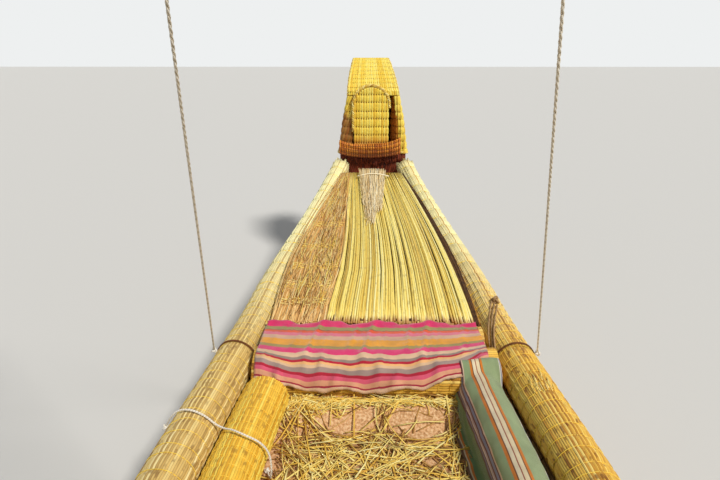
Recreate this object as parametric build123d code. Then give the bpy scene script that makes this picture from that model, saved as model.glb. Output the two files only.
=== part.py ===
"""A large lake reed boat: two bound hull rolls with upswept ends, gunwale rolls, side benches, a sloping
foredeck of reeds with a cloth-covered seat, a cat-like figurehead on the prow, a pole-built upper deck,
an A-frame mast with stays, and a steering oar. Lengths are in millimetres.

Frame: +Y is forward, +X is starboard, +Z is up. The origin is amidships on the waterline.
"""
import math
import os

from build123d import *

# Clearances between neighbours
SEAT = 2.0          # between two bundles that are lashed against each other
PIN_GAP = 6.0       # round the turning steering oar
CUT_GAP = 1.0       # round a piece that passes through another

# The boat's lines. Each row is one station: y, gunwale roll centre x and z, gunwale roll radius, keel height.
LINES = [
    (-6500, 215, 1950, 98, 1480),
    (-5900, 420, 1480, 112, 800),
    (-5100, 690, 1080, 128, 170),
    (-4100, 950, 820, 143, -270),
    (-2600, 1130, 715, 155, -450),
    (-600, 1195, 695, 155, -480),
    (1400, 1175, 700, 155, -470),
    (2050, 1115, 722, 155, -450),
    (2850, 1015, 800, 149, -370),
    (3500, 950, 890, 140, -270),
    (4150, 845, 1010, 128, -100),
    (4800, 712, 1158, 120, 150),
    (5400, 578, 1330, 116, 520),
    (6000, 430, 1560, 110, 980),
]
SHOULDER = 140          # gunwale roll's lowest line above the hull roll's top
SIDE_ROLL_SHARE = 0.77  # side roll radius over gunwale roll radius
SIDE_ROLL_OUT = 10      # side roll centre outboard of the gunwale roll's
HULL_ROUND = 0.48       # hull roll corner radius over its height
# Ropes pull waists into each hull roll: the first one's y, from one to the next, depth, half length
WAIST_AFT, WAIST_STEP, WAIST_DEPTH, WAIST_HALF = -6150, 600, 14, 120

# Deck
DECK_THICK = 50
DECK_MATS_AFT = (-5100, -4100, -2600, -600, 1400, 2050)     # where each mat of the deck begins; they lie end to end
BENCH_R = 165
BENCH_AFT = -1050

# Seat between the side benches, in front of the foredeck
SEAT_ROLLS = [(2335, 185), (2688, 164)]     # y, radius

# Foredeck: a core bundle with two mats on it
MAT_THICK = 60
MAT_LAP = 112           # the mats start this far forward of the back seat roll's top line
MAT_LIFT = 21           # and this high above that roll
MAT_HIGH_Z = 1551
FOREDECK_GAP = 304      # between the foredeck's end and the prow stem's first section
MAT_INSET = 80          # mat edge inboard of the core's edge
MAT_SEAM = 6            # between the two mats
SEAM = [(2800, -410), (3500, -330), (4150, -305), (5700, -305)]   # y, x of the seam between the mats
# The pale root tuft on the mats, from the prow down: distance aft of the foredeck's end, width, height
TUFT = [(0, 420, 80), (450, 330, 90), (850, 260, 80), (1370, 150, 50)]
TUFT_ROUND = 0.4        # corner radius over height

# Prow stem and stern tail, each row a section: y, z, climb in degrees, then width and height, or radius
STEM = [
    (6004, 1145, 0, 690, 325),
    (6230, 1300, 45, 760, 420),
    (6305, 1560, 80, 880, 490),
    (6303, 1727, 90, 900, 510),
]
STEM_ROUND = 120
FOREDECK_FORE = STEM[0][0] - FOREDECK_GAP
TAIL = [
    (-6504, 1600, 180, 125),
    (-6700, 1740, 130, 165),
    (-6880, 2080, 105, 130),
    (-6950, 2450, 95, 95),
    (-6960, 2700, 90, 60),
]

# Figurehead; its widths are whole widths
COLLAR_Z = 1730
NECK_BACK_Y = 6010
NECK_X, NECK_W, NECK_DEPTH = -26, 460, 440     # the neck stands a little to port, and leaves a slot to starboard
NECK_ARCH_Z = 2380          # where the straight sides of the neck end and its round top begins
HOOD_WALL = 85          # the hood's port wall is thicker and meets the neck
HOOD_ROUND = 110
HOOD = [(1730, 930, 6045, 6560), (2120, 830, 6050, 6640), (2480, 690, 6060, 6700)]   # z, width, back y, front y
SKULL_ROUND = 55
CROWN_BACK_Z = 2560
CROWN_TOP_Y, CROWN_TOP_Z, CROWN_TOP_W = 6760, 2950, 560
BROW_Y, BROW_DROP = 6900, 60
# Snout rows: forward of the brow, width, lowest and highest z. Jaw and tongue rows: forward of the hood's front.
SNOUT = [(0, 330, 2520, 2800), (360, 310, 2520, 2740), (478, 220, 2550, 2700)]
SNOUT_ROUND = 60
JAW = [(0, 330, 1860, 2020), (380, 300, 1900, 2040), (500, 200, 1940, 2040)]
JAW_ROUND = 45
TONGUE = [(20, 190, 2045, 2085), (390, 130, 2065, 2090)]
TONGUE_ROUND = 11
TOOTH_R, TOOTH_POINT_R, TOOTH_H = 22, 4, 85
UPPER_TEETH = [(410, 50), (330, 110), (190, 130), (80, 135)]    # forward of the brow, x
LOWER_TEETH = [(440, 60), (350, 115), (240, 125), (120, 130)]   # forward of the hood's front, x
EYE_R, EYE_THICK = 68, 40
EYE_X, EYE_Z = 238, 2700
EAR_R, EAR_THICK = 80, 50
EAR_X, EAR_DROP = 195, 88       # the ears' centres are this far below the crown's top

# Upper deck on six posts, which carry on up as rail posts
POST_R = 40
POST_X = 780
POSTS_Y = (-1450, -2700, -3950)
POST_TOP_Z = 2920
POST_HEAD = 50              # clear length above the notch that keeps an awning's lashing from slipping down
NOTCH_H, NOTCH_DEPTH = 12, 4
UPPER_FLOOR_Z = 2080
PLANK_THICK, PLANK_W, PLANK_GAP, PLANK_N = 30, 190, 12, 13
FIRST_PLANK_Y = -1400       # front edge of the first plank
BEAM_R = 45
CROSS_BEAM_R = 40
BEAM_PAST = 150             # cross beams run on past the posts
RAIL_R = 28
RAIL_DROPS = (470, 70)      # the rails' centres are this far below the posts' tops
RAIL_OVERHANG = 30          # rails run on past the corner posts
STANCHION_X = -120          # the aft rail ends here, and the ladder comes up on its port side
CABIN_BENCH_R = 150
CABIN_BENCH_AFT, CABIN_BENCH_FORE = -3980, -1500

# A-frame mast
MAST_Y = -1270
MAST_R = 55
MAST_CROSS_X, MAST_CROSS_Z = -190, 6480    # the legs cross here, a little to port
MAST_PAST = 260             # each leg's length past the crossing
FOOT_LIFT = 20              # the legs' feet stand this high on their lashings over the gunwale rolls
RUNG_R = 24
RUNG_PAST = 110             # rungs run on past the legs
RUNGS_Z = (3250, 3800, 4350, 4900, 5450)
STAY_R = 8
STAY_FEET_Y = (2450, -5900)     # forestays, backstays
KNOT_R = 26
KNOT_LIFT = 20              # degrees that a stay's foot sits above the gunwale roll's outermost line

# Ladder to the upper deck
LADDER_X, LADDER_HALF_W = -400, 180
LADDER_FOOT_Y, LADDER_HEAD_Y = -4750, -4150
LADDER_HEAD_Z = 2500
LADDER_POLE_R = 30
LADDER_RUNG_R = 20
LADDER_RUNGS = 6

# Steering oar
OAR_HEAD = (620, -4650, 1800)
OAR_TIP = (1500, -6750, -350)
OAR_R = 36
BLADE_LEN, BLADE_W, BLADE_THICK = 900, 300, 36
TILLER_LEN, TILLER_R = 560, 22
TILLER_FROM_HEAD = 60
CRUTCH_BEAM_R = 38
CRUTCH_BEAM_OUT = 130       # the beam runs on past the gunwale rolls' centres
CRUTCH_RING, CRUTCH_DEPTH = 22, 90
CRUTCH_Y = -5000

# Tie rope on the port side: from its hitch outside the gunwale roll, over that roll and the bench roll, down
# to the straw. Each row is a point of its route: x, y, z.
ROPE_R = 7
HITCH_R = 24
ROPE_END_KNOT_R = 20
ROPE = [
    (-1330, 1654, 745),
    (-1296, 1646, 815),
    (-1222, 1630, 878),
    (-1138, 1610, 888),
    (-1058, 1604, 850),
    (-1002, 1600, 792),
    (-938, 1566, 786),
    (-872, 1508, 826),
    (-786, 1464, 822),
    (-706, 1468, 776),
    (-652, 1474, 700),
    (-636, 1456, 612),
    (-640, 1446, 544),
    (-656, 1472, 494),
    (-680, 1536, 486),
]

# Cloths
CLOTH = 18
SEAT_CLOTH_X = (-880, 830)
SEAT_CLOTH_HEM_Z = 700
BENCH_CLOTH_AFT, BENCH_CLOTH_FORE = -1000, 2100
BENCH_CLOTH_FROM = 50       # degrees outboard of straight up where the cloth begins


def between(rows, place, column):
    """A column of a table at a place between its rows, in a straight line."""
    for low, high in zip(rows, rows[1:]):
        if place <= high[0] or high is rows[-1]:
            return low[column] + (place - low[0]) / (high[0] - low[0]) * (high[column] - low[column])


def gunwale(y):
    """Centre x, centre z and radius of the gunwale roll."""
    return tuple(between(LINES, y, column) for column in (1, 2, 3))


def stretch(y):
    """How much longer a sloping roll's upright section is than its square one, from the steepest line near y."""
    steepest = 0
    for low, high in zip(LINES, LINES[1:]):
        if low[0] - 1 <= y <= high[0] + 1:
            run = high[0] - low[0]
            steepest = max(steepest, ((high[1] - low[1]) ** 2 + (high[2] - low[2]) ** 2) / run ** 2)
    return math.sqrt(1 + steepest)


def side_roll(y):
    """Centre x, centre z and radius of the side roll under the gunwale roll."""
    x, z, r = gunwale(y)
    side_r = r * SIDE_ROLL_SHARE
    return x + SIDE_ROLL_OUT, z - (r + side_r + SEAT) * stretch(y), side_r


def hull_top(y):
    x, z, r = gunwale(y)
    return z - r - SHOULDER


def hull_section(y):
    """Width, top, bottom and corner radius of one hull roll. Its shoulder just touches the side roll."""
    top, bottom = hull_top(y), between(LINES, y, 4)
    corner = HULL_ROUND * (top - bottom)
    x, z, r = side_roll(y)
    rise = z - (top - corner)
    reach = math.sqrt((corner + r * stretch(y) + SEAT) ** 2 - rise ** 2)
    return x + corner - reach, top, bottom, corner


def deck_top(y):
    return hull_top(y) + SEAT + DECK_THICK


def inner_side(y):
    """x where the gunwale roll's inner side begins."""
    x, z, r = gunwale(y)
    return x - r - SEAT


def stations(low, high):
    """The stations of LINES between two y values, with both ends."""
    return [low] + [row[0] for row in LINES if low < row[0] < high] + [high]


def loft_through(faces):
    return loft(faces, ruled=True)


def bundle(points):
    """A round bundle through points of x, y, z, radius."""
    faces = []
    for i, (x, y, z, r) in enumerate(points):
        before = Vector(*points[max(i - 1, 0)][:3])
        after = Vector(*points[min(i + 1, len(points) - 1)][:3])
        along = (after - before).normalized()
        across = along.cross(Vector(0, 0, 1)).normalized()
        faces.append(Plane(origin=(x, y, z), x_dir=across, z_dir=along) * Circle(r))
    return loft_through(faces)


def pole(start, end, r):
    """A straight round pole between two points."""
    start, end = Vector(*start), Vector(*end)
    along = end - start
    plane = Plane(origin=start, z_dir=along.normalized())
    return plane * Cylinder(r, along.length, align=(Align.CENTER, Align.CENTER, Align.MIN))


def block_section(y, x_low, x_high, z_low, z_high):
    """A rectangle across the boat at y."""
    plane = Plane(origin=((x_low + x_high) / 2, y, (z_low + z_high) / 2), x_dir=(1, 0, 0), z_dir=(0, 1, 0))
    return plane * Rectangle(x_high - x_low, z_high - z_low)


def round_section(y, x, width, z_low, z_high, corner):
    plane = Plane(origin=(x, y, (z_low + z_high) / 2), x_dir=(1, 0, 0), z_dir=(0, 1, 0))
    return plane * RectangleRounded(width, z_high - z_low, corner)


def port(shape):
    return mirror(shape, about=Plane.YZ)


def save(name, *solids):
    solids = [s for shape in solids for s in shape.solids()]
    export_step(solids[0] if len(solids) == 1 else Compound(children=solids), f"parts/{name}.step")


def both_sides(name, shape):
    """The starboard piece and its port twin, as two nodes."""
    save(f"{name}_starboard", shape)
    save(f"{name}_port", port(shape))


def make_hull():
    aft, fore = LINES[0][0], LINES[-1][0]
    waists = range(WAIST_AFT, fore - WAIST_HALF, WAIST_STEP)
    edges = [y + side * WAIST_HALF for y in waists for side in (-1, 1)]
    sections = [(y, *hull_section(y)) for y in stations(aft, fore)]
    faces = []
    for y in sorted({*stations(aft, fore), *waists, *edges}):
        width, top, bottom, corner = (between(sections, y, column) for column in (1, 2, 3, 4))
        near = min(abs(y - waist) for waist in waists)
        deep = WAIST_DEPTH * max(1 - near / WAIST_HALF, 0)
        faces.append(round_section(y, width / 2, width - 2 * deep, bottom + deep, top - deep,
                                   min(corner, 0.48 * width) - deep))
    both_sides("hull_roll", loft_through(faces))
    both_sides("side_roll", bundle([(side_roll(row[0])[0], row[0], *side_roll(row[0])[1:]) for row in LINES]))
    both_sides("gunwale_roll", bundle([(row[1], row[0], row[2], row[3]) for row in LINES]))


def core_aft():
    """Where the foredeck's core begins, just behind the back seat roll."""
    y, r = SEAT_ROLLS[-1]
    return y + r + 4 * SEAT


def make_deck():
    mats = []
    for aft, fore in zip(DECK_MATS_AFT, DECK_MATS_AFT[1:] + (core_aft(),)):
        faces = []
        for y in stations(aft, fore - SEAT):
            x, z, r = side_roll(y)
            half = x - r - 4 * SEAT
            faces.append(block_section(y, -half, half, hull_top(y) + SEAT, deck_top(y)))
        mats.append(loft_through(faces))
    save("deck_mat", *mats)


def bench_x(y):
    return inner_side(y) - BENCH_R - SEAT


def seat_roll_z(y, r):
    return deck_top(y + r) + r + SEAT


def bench_fore():
    """Where the side benches end, just short of the cloth that hangs down from the front seat."""
    y, r = SEAT_ROLLS[0]
    return y - r - CLOTH - 5 * SEAT


def make_benches():
    rows = [(bench_x(y), y, deck_top(y) + BENCH_R + SEAT, BENCH_R) for y in stations(BENCH_AFT, bench_fore())]
    both_sides("bench_roll", bundle(rows))
    rolls = []
    for y, r in SEAT_ROLLS:
        half = inner_side(y + r) - 2 * SEAT
        rolls.append(pole((-half, y, seat_roll_z(y, r)), (half, y, seat_roll_z(y, r)), r))
    save("front_seat", *rolls)


def mat_low():
    """y and top z of the mats' low end, which lies over the back seat roll."""
    y, r = SEAT_ROLLS[-1]
    return y + MAT_LAP, seat_roll_z(y, r) + math.sqrt(r ** 2 - MAT_LAP ** 2) + MAT_LIFT + MAT_THICK


def mat_top(y):
    low_y, low_z = mat_low()
    return low_z + (y - low_y) / (FOREDECK_FORE - low_y) * (MAT_HIGH_Z - low_z)


def make_foredeck():
    core, mats = [], {-1: [], 1: []}
    for y in stations(core_aft(), FOREDECK_FORE):
        half = inner_side(y) - 2 * SEAT
        core.append(block_section(y, -half, half, hull_top(y) + SEAT, mat_top(y) - MAT_THICK - SEAT))
    for y in stations(mat_low()[0], FOREDECK_FORE):
        edge = inner_side(y) - MAT_INSET
        for side in mats:
            seam = between(SEAM, y, 1) + side * MAT_SEAM / 2
            x_low, x_high = sorted((seam, side * edge))
            mats[side].append(block_section(y, x_low, x_high, mat_top(y) - MAT_THICK, mat_top(y)))
    save("foredeck_core", loft_through(core))
    save("foredeck_mat_port", loft_through(mats[-1]))
    save("foredeck_mat_starboard", loft_through(mats[1]))
    tuft = []
    for aft, width, height in reversed(TUFT):
        y = FOREDECK_FORE - aft
        low = mat_top(y) + SEAT
        tuft.append(round_section(y, 0, width, low, low + height, TUFT_ROUND * height))
    save("prow_tuft", loft_through(tuft))


def tilted_plane(y, z, climb):
    """A plane square to a line that leaves forward and climbs at so many degrees."""
    along = Vector(0, math.cos(math.radians(climb)), math.sin(math.radians(climb)))
    return Plane(origin=(0, y, z), x_dir=(1, 0, 0), z_dir=along)


def flat_section(z, width, back, front, corner, x=0):
    plane = Plane(origin=(x, (back + front) / 2, z), x_dir=(1, 0, 0), z_dir=(0, 0, 1))
    return plane * RectangleRounded(width, front - back, corner)


def neck_slab(width, base_z, arch_z, back, front):
    """A slab across the boat at the neck, with straight sides and a round top."""
    plane = Plane(origin=(NECK_X, back, 0), x_dir=(1, 0, 0), z_dir=(0, -1, 0))
    body = Rectangle(width, arch_z - base_z, align=(Align.CENTER, Align.MIN)).moved(Location((0, base_z)))
    face = body + Circle(width / 2).moved(Location((0, arch_z)))
    return extrude(plane * face, amount=-(front - back))


def make_prow():
    stem = [tilted_plane(y, z, climb) * RectangleRounded(w, h, STEM_ROUND) for y, z, climb, w, h in STEM]
    save("prow_stem", loft_through(stem))
    save("prow_neck", neck_slab(NECK_W, COLLAR_Z + SEAT, NECK_ARCH_Z, NECK_BACK_Y, NECK_BACK_Y + NECK_DEPTH))


def make_muzzle(name, rows, root, corner):
    """A snout, jaw or tongue from rows of forward of the root, width, lowest and highest z."""
    save(name, loft_through([round_section(root + forward, 0, width, low, high, corner)
                             for forward, width, low, high in rows]))


def make_head():
    outer = loft_through([flat_section(z, w, back, front, HOOD_ROUND) for z, w, back, front in HOOD])
    low_x = NECK_X - NECK_W / 2 - 2 * SEAT
    inner = loft_through([flat_section(z, w / 2 - HOOD_WALL - low_x, back - 2 * HOOD_WALL, front - HOOD_WALL,
                                       HOOD_ROUND / 4, x=(w / 2 - HOOD_WALL + low_x) / 2)
                          for z, w, back, front in HOOD])
    save("head_hood", outer - inner)

    low_z, low_w, low_back, _ = HOOD[-1]
    side = Plane(origin=(0, 0, 0), x_dir=(0, 1, 0), z_dir=(1, 0, 0))
    profile = Polyline((low_back, low_z + SEAT), (low_back, CROWN_BACK_Z), (CROWN_TOP_Y, CROWN_TOP_Z),
                       (BROW_Y, CROWN_TOP_Z - BROW_DROP), (BROW_Y, low_z + SEAT), close=True)
    slab = extrude(side * make_face(profile), amount=low_w / 2, both=True)
    taper = loft_through([flat_section(z, w, low_back - SKULL_ROUND, BROW_Y + SKULL_ROUND, SKULL_ROUND)
                          for z, w in ((low_z + SEAT, low_w), (CROWN_TOP_Z + SEAT, CROWN_TOP_W))])
    neck_room = neck_slab(NECK_W + 2 * CUT_GAP, COLLAR_Z, NECK_ARCH_Z,
                          NECK_BACK_Y - CUT_GAP, NECK_BACK_Y + NECK_DEPTH + CUT_GAP)
    save("head_skull", (slab & taper) - neck_room)

    jaw_root = between([(z, front) for z, _, _, front in HOOD], JAW[0][3], 1) + 2 * SEAT
    make_muzzle("head_snout", SNOUT, BROW_Y + SEAT, SNOUT_ROUND)
    make_muzzle("head_jaw", JAW, jaw_root, JAW_ROUND)
    make_muzzle("head_tongue", TONGUE, jaw_root, TONGUE_ROUND)

    teeth = []
    for rows, root, muzzle, column, up in ((UPPER_TEETH, BROW_Y, SNOUT, 2, -1), (LOWER_TEETH, jaw_root, JAW, 3, 1)):
        for forward, x in rows:
            edges = [between(muzzle, forward + reach, column) for reach in (-TOOTH_R, TOOTH_R)]
            z = max(edges) + SEAT if up > 0 else min(edges) - SEAT
            for side_x in (-x, x):
                plane = Plane(origin=(side_x, root + forward, z), x_dir=(1, 0, 0), z_dir=(0, 0, up))
                teeth.append(plane * Cone(TOOTH_R, TOOTH_POINT_R, TOOTH_H,
                                          align=(Align.CENTER, Align.CENTER, Align.MIN)))
    save("head_teeth", *teeth)

    for name, x, z, r, thick in (("head_eyes", EYE_X, EYE_Z, EYE_R, EYE_THICK),
                                 ("head_ears", EAR_X, CROWN_TOP_Z - EAR_DROP, EAR_R, EAR_THICK)):
        save(name, *[Plane(origin=(side_x, BROW_Y + SEAT, z), z_dir=(0, 1, 0))
                     * Cylinder(r, thick, align=(Align.CENTER, Align.CENTER, Align.MIN)) for side_x in (-x, x)])


def make_stern():
    save("stern_tail", loft_through([tilted_plane(y, z, climb) * Circle(r) for y, z, climb, r in TAIL]))


def make_upper_deck():
    posts, beams = [], []
    cross_z = UPPER_FLOOR_Z - PLANK_THICK - SEAT - 2 * BEAM_R - SEAT - CROSS_BEAM_R
    side_z = cross_z + CROSS_BEAM_R + SEAT + BEAM_R
    side_x = POST_X - POST_R - SEAT - BEAM_R
    for y in POSTS_Y:
        for x in (-POST_X, POST_X):
            foot = max(deck_top(y - POST_R), deck_top(y + POST_R)) + SEAT
            notch_z = POST_TOP_Z - POST_HEAD - NOTCH_H
            posts.append(pole((x, y, foot), (x, y, notch_z), POST_R)
                         + pole((x, y, notch_z), (x, y, notch_z + NOTCH_H), POST_R - NOTCH_DEPTH)
                         + pole((x, y, notch_z + NOTCH_H), (x, y, POST_TOP_Z), POST_R))
        beam_y = y - POST_R - CROSS_BEAM_R - SEAT
        reach = POST_X + BEAM_PAST
        beams.append(pole((-reach, beam_y, cross_z), (reach, beam_y, cross_z), CROSS_BEAM_R))
    save("deck_posts", *posts)
    save("deck_cross_beams", *beams)
    aft = FIRST_PLANK_Y - PLANK_N * (PLANK_W + PLANK_GAP) + PLANK_GAP
    save("deck_side_beams", *[pole((x, aft, side_z), (x, FIRST_PLANK_Y, side_z), BEAM_R) for x in (-side_x, side_x)])
    half = POST_X - POST_R - 2 * SEAT
    planks = []
    for i in range(PLANK_N):
        y = FIRST_PLANK_Y - PLANK_W / 2 - i * (PLANK_W + PLANK_GAP)
        planks.append(Box(2 * half, PLANK_W, PLANK_THICK).moved(Location((0, y, UPPER_FLOOR_Z - PLANK_THICK / 2))))
    save("upper_deck_planks", *planks)

    rails_z = [POST_TOP_Z - drop for drop in RAIL_DROPS]
    rail_x = POST_X + POST_R + RAIL_R + SEAT
    fore, last = POSTS_Y[0] + RAIL_OVERHANG, POSTS_Y[-1] - RAIL_OVERHANG
    for name, x in (("rail_port", -rail_x), ("rail_starboard", rail_x)):
        save(name, *[pole((x, last, z), (x, fore, z), RAIL_R) for z in rails_z])
    fore_y = POSTS_Y[0] - POST_R - RAIL_R - SEAT
    aft_y = POSTS_Y[-1] - POST_R - RAIL_R - SEAT
    end = rail_x - RAIL_R - SEAT
    save("rail_front", *[pole((-end, fore_y, z), (end, fore_y, z), RAIL_R) for z in rails_z])
    save("rail_aft", *[pole((STANCHION_X - POST_R, aft_y, z), (end, aft_y, z), RAIL_R) for z in rails_z])
    stanchion_y = aft_y + RAIL_R + POST_R + SEAT
    save("rail_stanchion", pole((STANCHION_X, stanchion_y, UPPER_FLOOR_Z + SEAT),
                                (STANCHION_X, stanchion_y, POST_TOP_Z), POST_R))

    x = POST_X - POST_R - SEAT - CABIN_BENCH_R
    z = deck_top(POSTS_Y[0]) + SEAT + CABIN_BENCH_R
    both_sides("cabin_bench", bundle([(x, y, deck_top(y) + SEAT + CABIN_BENCH_R, CABIN_BENCH_R)
                                      for y in stations(CABIN_BENCH_AFT, CABIN_BENCH_FORE)]))


def make_mast():
    x, z, r = gunwale(MAST_Y)
    foot_z = z + r + SEAT + FOOT_LIFT
    cross = MAST_R + SEAT / 2
    for name, side in (("mast_leg_port", -1), ("mast_leg_starboard", 1)):
        y = MAST_Y + side * cross
        foot = Vector(side * x, y, foot_z)
        crossing = Vector(MAST_CROSS_X, y, MAST_CROSS_Z)
        top = crossing + (crossing - foot).normalized() * MAST_PAST
        save(name, pole(foot, top, MAST_R))
    rungs = []
    for z in RUNGS_Z:
        share = (z - foot_z) / (MAST_CROSS_Z - foot_z)
        lead = MAST_R + RUNG_R + 4 * SEAT
        ends = [Vector(side * x + share * (MAST_CROSS_X - side * x), MAST_Y + side * cross + lead, z)
                for side in (-1, 1)]
        past = (ends[1] - ends[0]).normalized() * RUNG_PAST
        rungs.append(pole(ends[0] - past, ends[1] + past, RUNG_R))
    save("mast_rungs", *rungs)


def knot_place(y, side):
    x, z, r = gunwale(y)
    out = (r + KNOT_R) * stretch(y) + SEAT
    lift = math.radians(KNOT_LIFT)
    return Vector(side * (x + out * math.cos(lift)), y, z + out * math.sin(lift))


def make_stays():
    knots = []
    for name, y, lead in (("forestay", STAY_FEET_Y[0], 1), ("backstay", STAY_FEET_Y[1], -1)):
        for side_name, side in (("port", -1), ("starboard", 1)):
            knot = knot_place(y, side)
            knots.append(Sphere(KNOT_R).moved(Location(knot)))
            head = Vector(MAST_CROSS_X + side * (STAY_R + SEAT), MAST_Y + lead * (2 * MAST_R + STAY_R + 6 * SEAT),
                          MAST_CROSS_Z)
            along = (head - knot).normalized()
            save(f"{name}_{side_name}", pole(knot + along * (KNOT_R + SEAT), head, STAY_R))
    save("stay_knots", *knots)


def make_ladder():
    foot_z = deck_top(LADDER_FOOT_Y) + SEAT + 2 * LADDER_POLE_R
    poles, rungs = [], []
    for side in (-1, 1):
        x = LADDER_X + side * LADDER_HALF_W
        poles.append(pole((x, LADDER_FOOT_Y, foot_z), (x, LADDER_HEAD_Y, LADDER_HEAD_Z), LADDER_POLE_R))
    for i in range(LADDER_RUNGS):
        share = (i + 0.6) / LADDER_RUNGS
        y = LADDER_FOOT_Y + share * (LADDER_HEAD_Y - LADDER_FOOT_Y)
        z = foot_z + share * (LADDER_HEAD_Z - foot_z)
        reach = LADDER_HALF_W - LADDER_POLE_R - SEAT / 2
        rungs.append(pole((LADDER_X - reach, y, z), (LADDER_X + reach, y, z), LADDER_RUNG_R))
    save("ladder_poles", *poles)
    save("ladder_rungs", *rungs)


def make_oar():
    head, tip = Vector(*OAR_HEAD), Vector(*OAR_TIP)
    along = (tip - head).normalized()
    blade_start = tip - along * BLADE_LEN
    save("oar_shaft", pole(head, blade_start - along * SEAT / 4, OAR_R))
    across = along.cross(Vector(0, 0, 1)).normalized()
    upright = across.cross(along).normalized()
    plane = Plane(origin=blade_start, x_dir=upright, z_dir=along)
    blade = loft_through([plane.offset(d) * RectangleRounded(w, BLADE_THICK, 0.45 * BLADE_THICK)
                          for d, w in ((0, 3 * OAR_R), (0.35 * BLADE_LEN, BLADE_W), (BLADE_LEN, BLADE_W * 0.9))])
    save("oar_blade", blade)
    inboard = -across if across.X > 0 else across
    tiller_at = head + along * TILLER_FROM_HEAD
    start = tiller_at + inboard * (OAR_R + SEAT / 4)
    save("oar_tiller", pole(start, start + inboard * TILLER_LEN, TILLER_R))

    share = (CRUTCH_Y - head.Y) / (tip.Y - head.Y)
    ring_at = head + (tip - head) * share
    ring_plane = Plane(origin=ring_at, z_dir=along)
    ring = ring_plane * (Cylinder(OAR_R + PIN_GAP + CRUTCH_RING, CRUTCH_DEPTH) -
                         Cylinder(OAR_R + PIN_GAP, 2 * CRUTCH_DEPTH))
    x, z, r = gunwale(CRUTCH_Y)
    beam_z = z + r * stretch(CRUTCH_Y) + CRUTCH_BEAM_R + SEAT
    reach = x + CRUTCH_BEAM_OUT
    save("oar_beam", pole((-reach, CRUTCH_Y, beam_z), (reach, CRUTCH_Y, beam_z), CRUTCH_BEAM_R))
    post = pole((ring_at.X, CRUTCH_Y, beam_z + CRUTCH_BEAM_R + SEAT), ring_at, CRUTCH_BEAM_R)
    bore = ring_plane * Cylinder(OAR_R + PIN_GAP, 6 * CRUTCH_DEPTH)
    save("oar_crutch", ring + post - bore)
    print("oar axis", [round(v, 5) for v in (along.X, along.Y, along.Z)], "ring at", ring_at)


def make_rope():
    points = [Vector(*p) for p in ROPE]
    runs = [(b - a).length for a, b in zip(points, points[1:])]
    turns = [(b - a).get_angle(c - b) for a, b, c in zip(points, points[1:], points[2:])]
    radii = [0.45 * min(runs[i], runs[i + 1]) / math.tan(math.radians(turn) / 2) for i, turn in enumerate(turns)]
    path = FilletPolyline(*points, radius=radii)
    start = Plane(origin=points[0], z_dir=(points[1] - points[0]).normalized())
    tube = sweep(start * Circle(ROPE_R), path=path)
    print("rope runs", [round(run) for run in runs], "turns", [round(turn) for turn in turns])
    print("rope radii", [round(radius) for radius in radii], "length", round(path.length))
    print("rope volume over section times length", round(tube.volume / (math.pi * ROPE_R ** 2 * path.length), 4))
    save("tie_rope", tube)
    first = (points[1] - points[0]).normalized()
    last = (points[-1] - points[-2]).normalized()
    save("tie_rope_hitch", Sphere(HITCH_R).moved(Location(points[0] - first * (HITCH_R + SEAT / 4))))
    save("tie_rope_knot", Sphere(ROPE_END_KNOT_R).moved(Location(points[-1] + last * (ROPE_END_KNOT_R + SEAT / 4))))


def make_cloths():
    (y, r), (back, back_r) = SEAT_ROLLS
    z, back_z = seat_roll_z(y, r), seat_roll_z(back, back_r) + back_r + 2 * SEAT
    inner, outer = r + 2 * SEAT, r + 2 * SEAT + CLOTH
    plane = Plane(origin=(SEAT_CLOTH_X[0], 0, 0), x_dir=(0, 1, 0), z_dir=(1, 0, 0))
    with BuildSketch(plane) as section:
        with BuildLine():
            Line((back, back_z), (back, back_z + CLOTH))
            Line((back, back_z + CLOTH), (y, z + outer))
            ThreePointArc((y, z + outer), (y - outer * math.sqrt(0.5), z + outer * math.sqrt(0.5)), (y - outer, z))
            Line((y - outer, z), (y - outer, SEAT_CLOTH_HEM_Z))
            Line((y - outer, SEAT_CLOTH_HEM_Z), (y - inner, SEAT_CLOTH_HEM_Z))
            Line((y - inner, SEAT_CLOTH_HEM_Z), (y - inner, z))
            ThreePointArc((y - inner, z), (y - inner * math.sqrt(0.5), z + inner * math.sqrt(0.5)), (y, z + inner))
            Line((y, z + inner), (back, back_z))
        make_face()
    save("seat_cloth", extrude(section.sketch, amount=SEAT_CLOTH_X[1] - SEAT_CLOTH_X[0]))

    faces = []
    start = math.radians(90 - BENCH_CLOTH_FROM)
    middle = (start + math.pi) / 2
    for y in stations(BENCH_CLOTH_AFT, BENCH_CLOTH_FORE):
        x, floor = bench_x(y), deck_top(y)
        z = floor + BENCH_R + SEAT
        inner, outer = BENCH_R + 2 * SEAT, BENCH_R + 2 * SEAT + CLOTH
        plane = Plane(origin=(x, y, z), x_dir=(1, 0, 0), z_dir=(0, -1, 0))
        spots = {(r, a): (r * math.cos(a), r * math.sin(a)) for r in (inner, outer) for a in (start, middle, math.pi)}
        drop = z - floor - 2 * SEAT
        with BuildSketch(plane) as section:
            with BuildLine():
                ThreePointArc(spots[outer, start], spots[outer, middle], spots[outer, math.pi])
                Line(spots[outer, math.pi], (-outer, -drop))
                Line((-outer, -drop), (-inner, -drop))
                Line((-inner, -drop), spots[inner, math.pi])
                ThreePointArc(spots[inner, math.pi], spots[inner, middle], spots[inner, start])
                Line(spots[inner, start], spots[outer, start])
            make_face()
        faces.append(section.sketch.faces()[0])
    save("bench_cloth", loft_through(faces))


if __name__ == "__main__":
    os.makedirs("parts", exist_ok=True)
    make_hull()
    make_deck()
    make_benches()
    make_foredeck()
    make_prow()
    make_head()
    make_stern()
    make_upper_deck()
    make_mast()
    make_stays()
    make_ladder()
    make_oar()
    make_rope()
    make_cloths()
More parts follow.
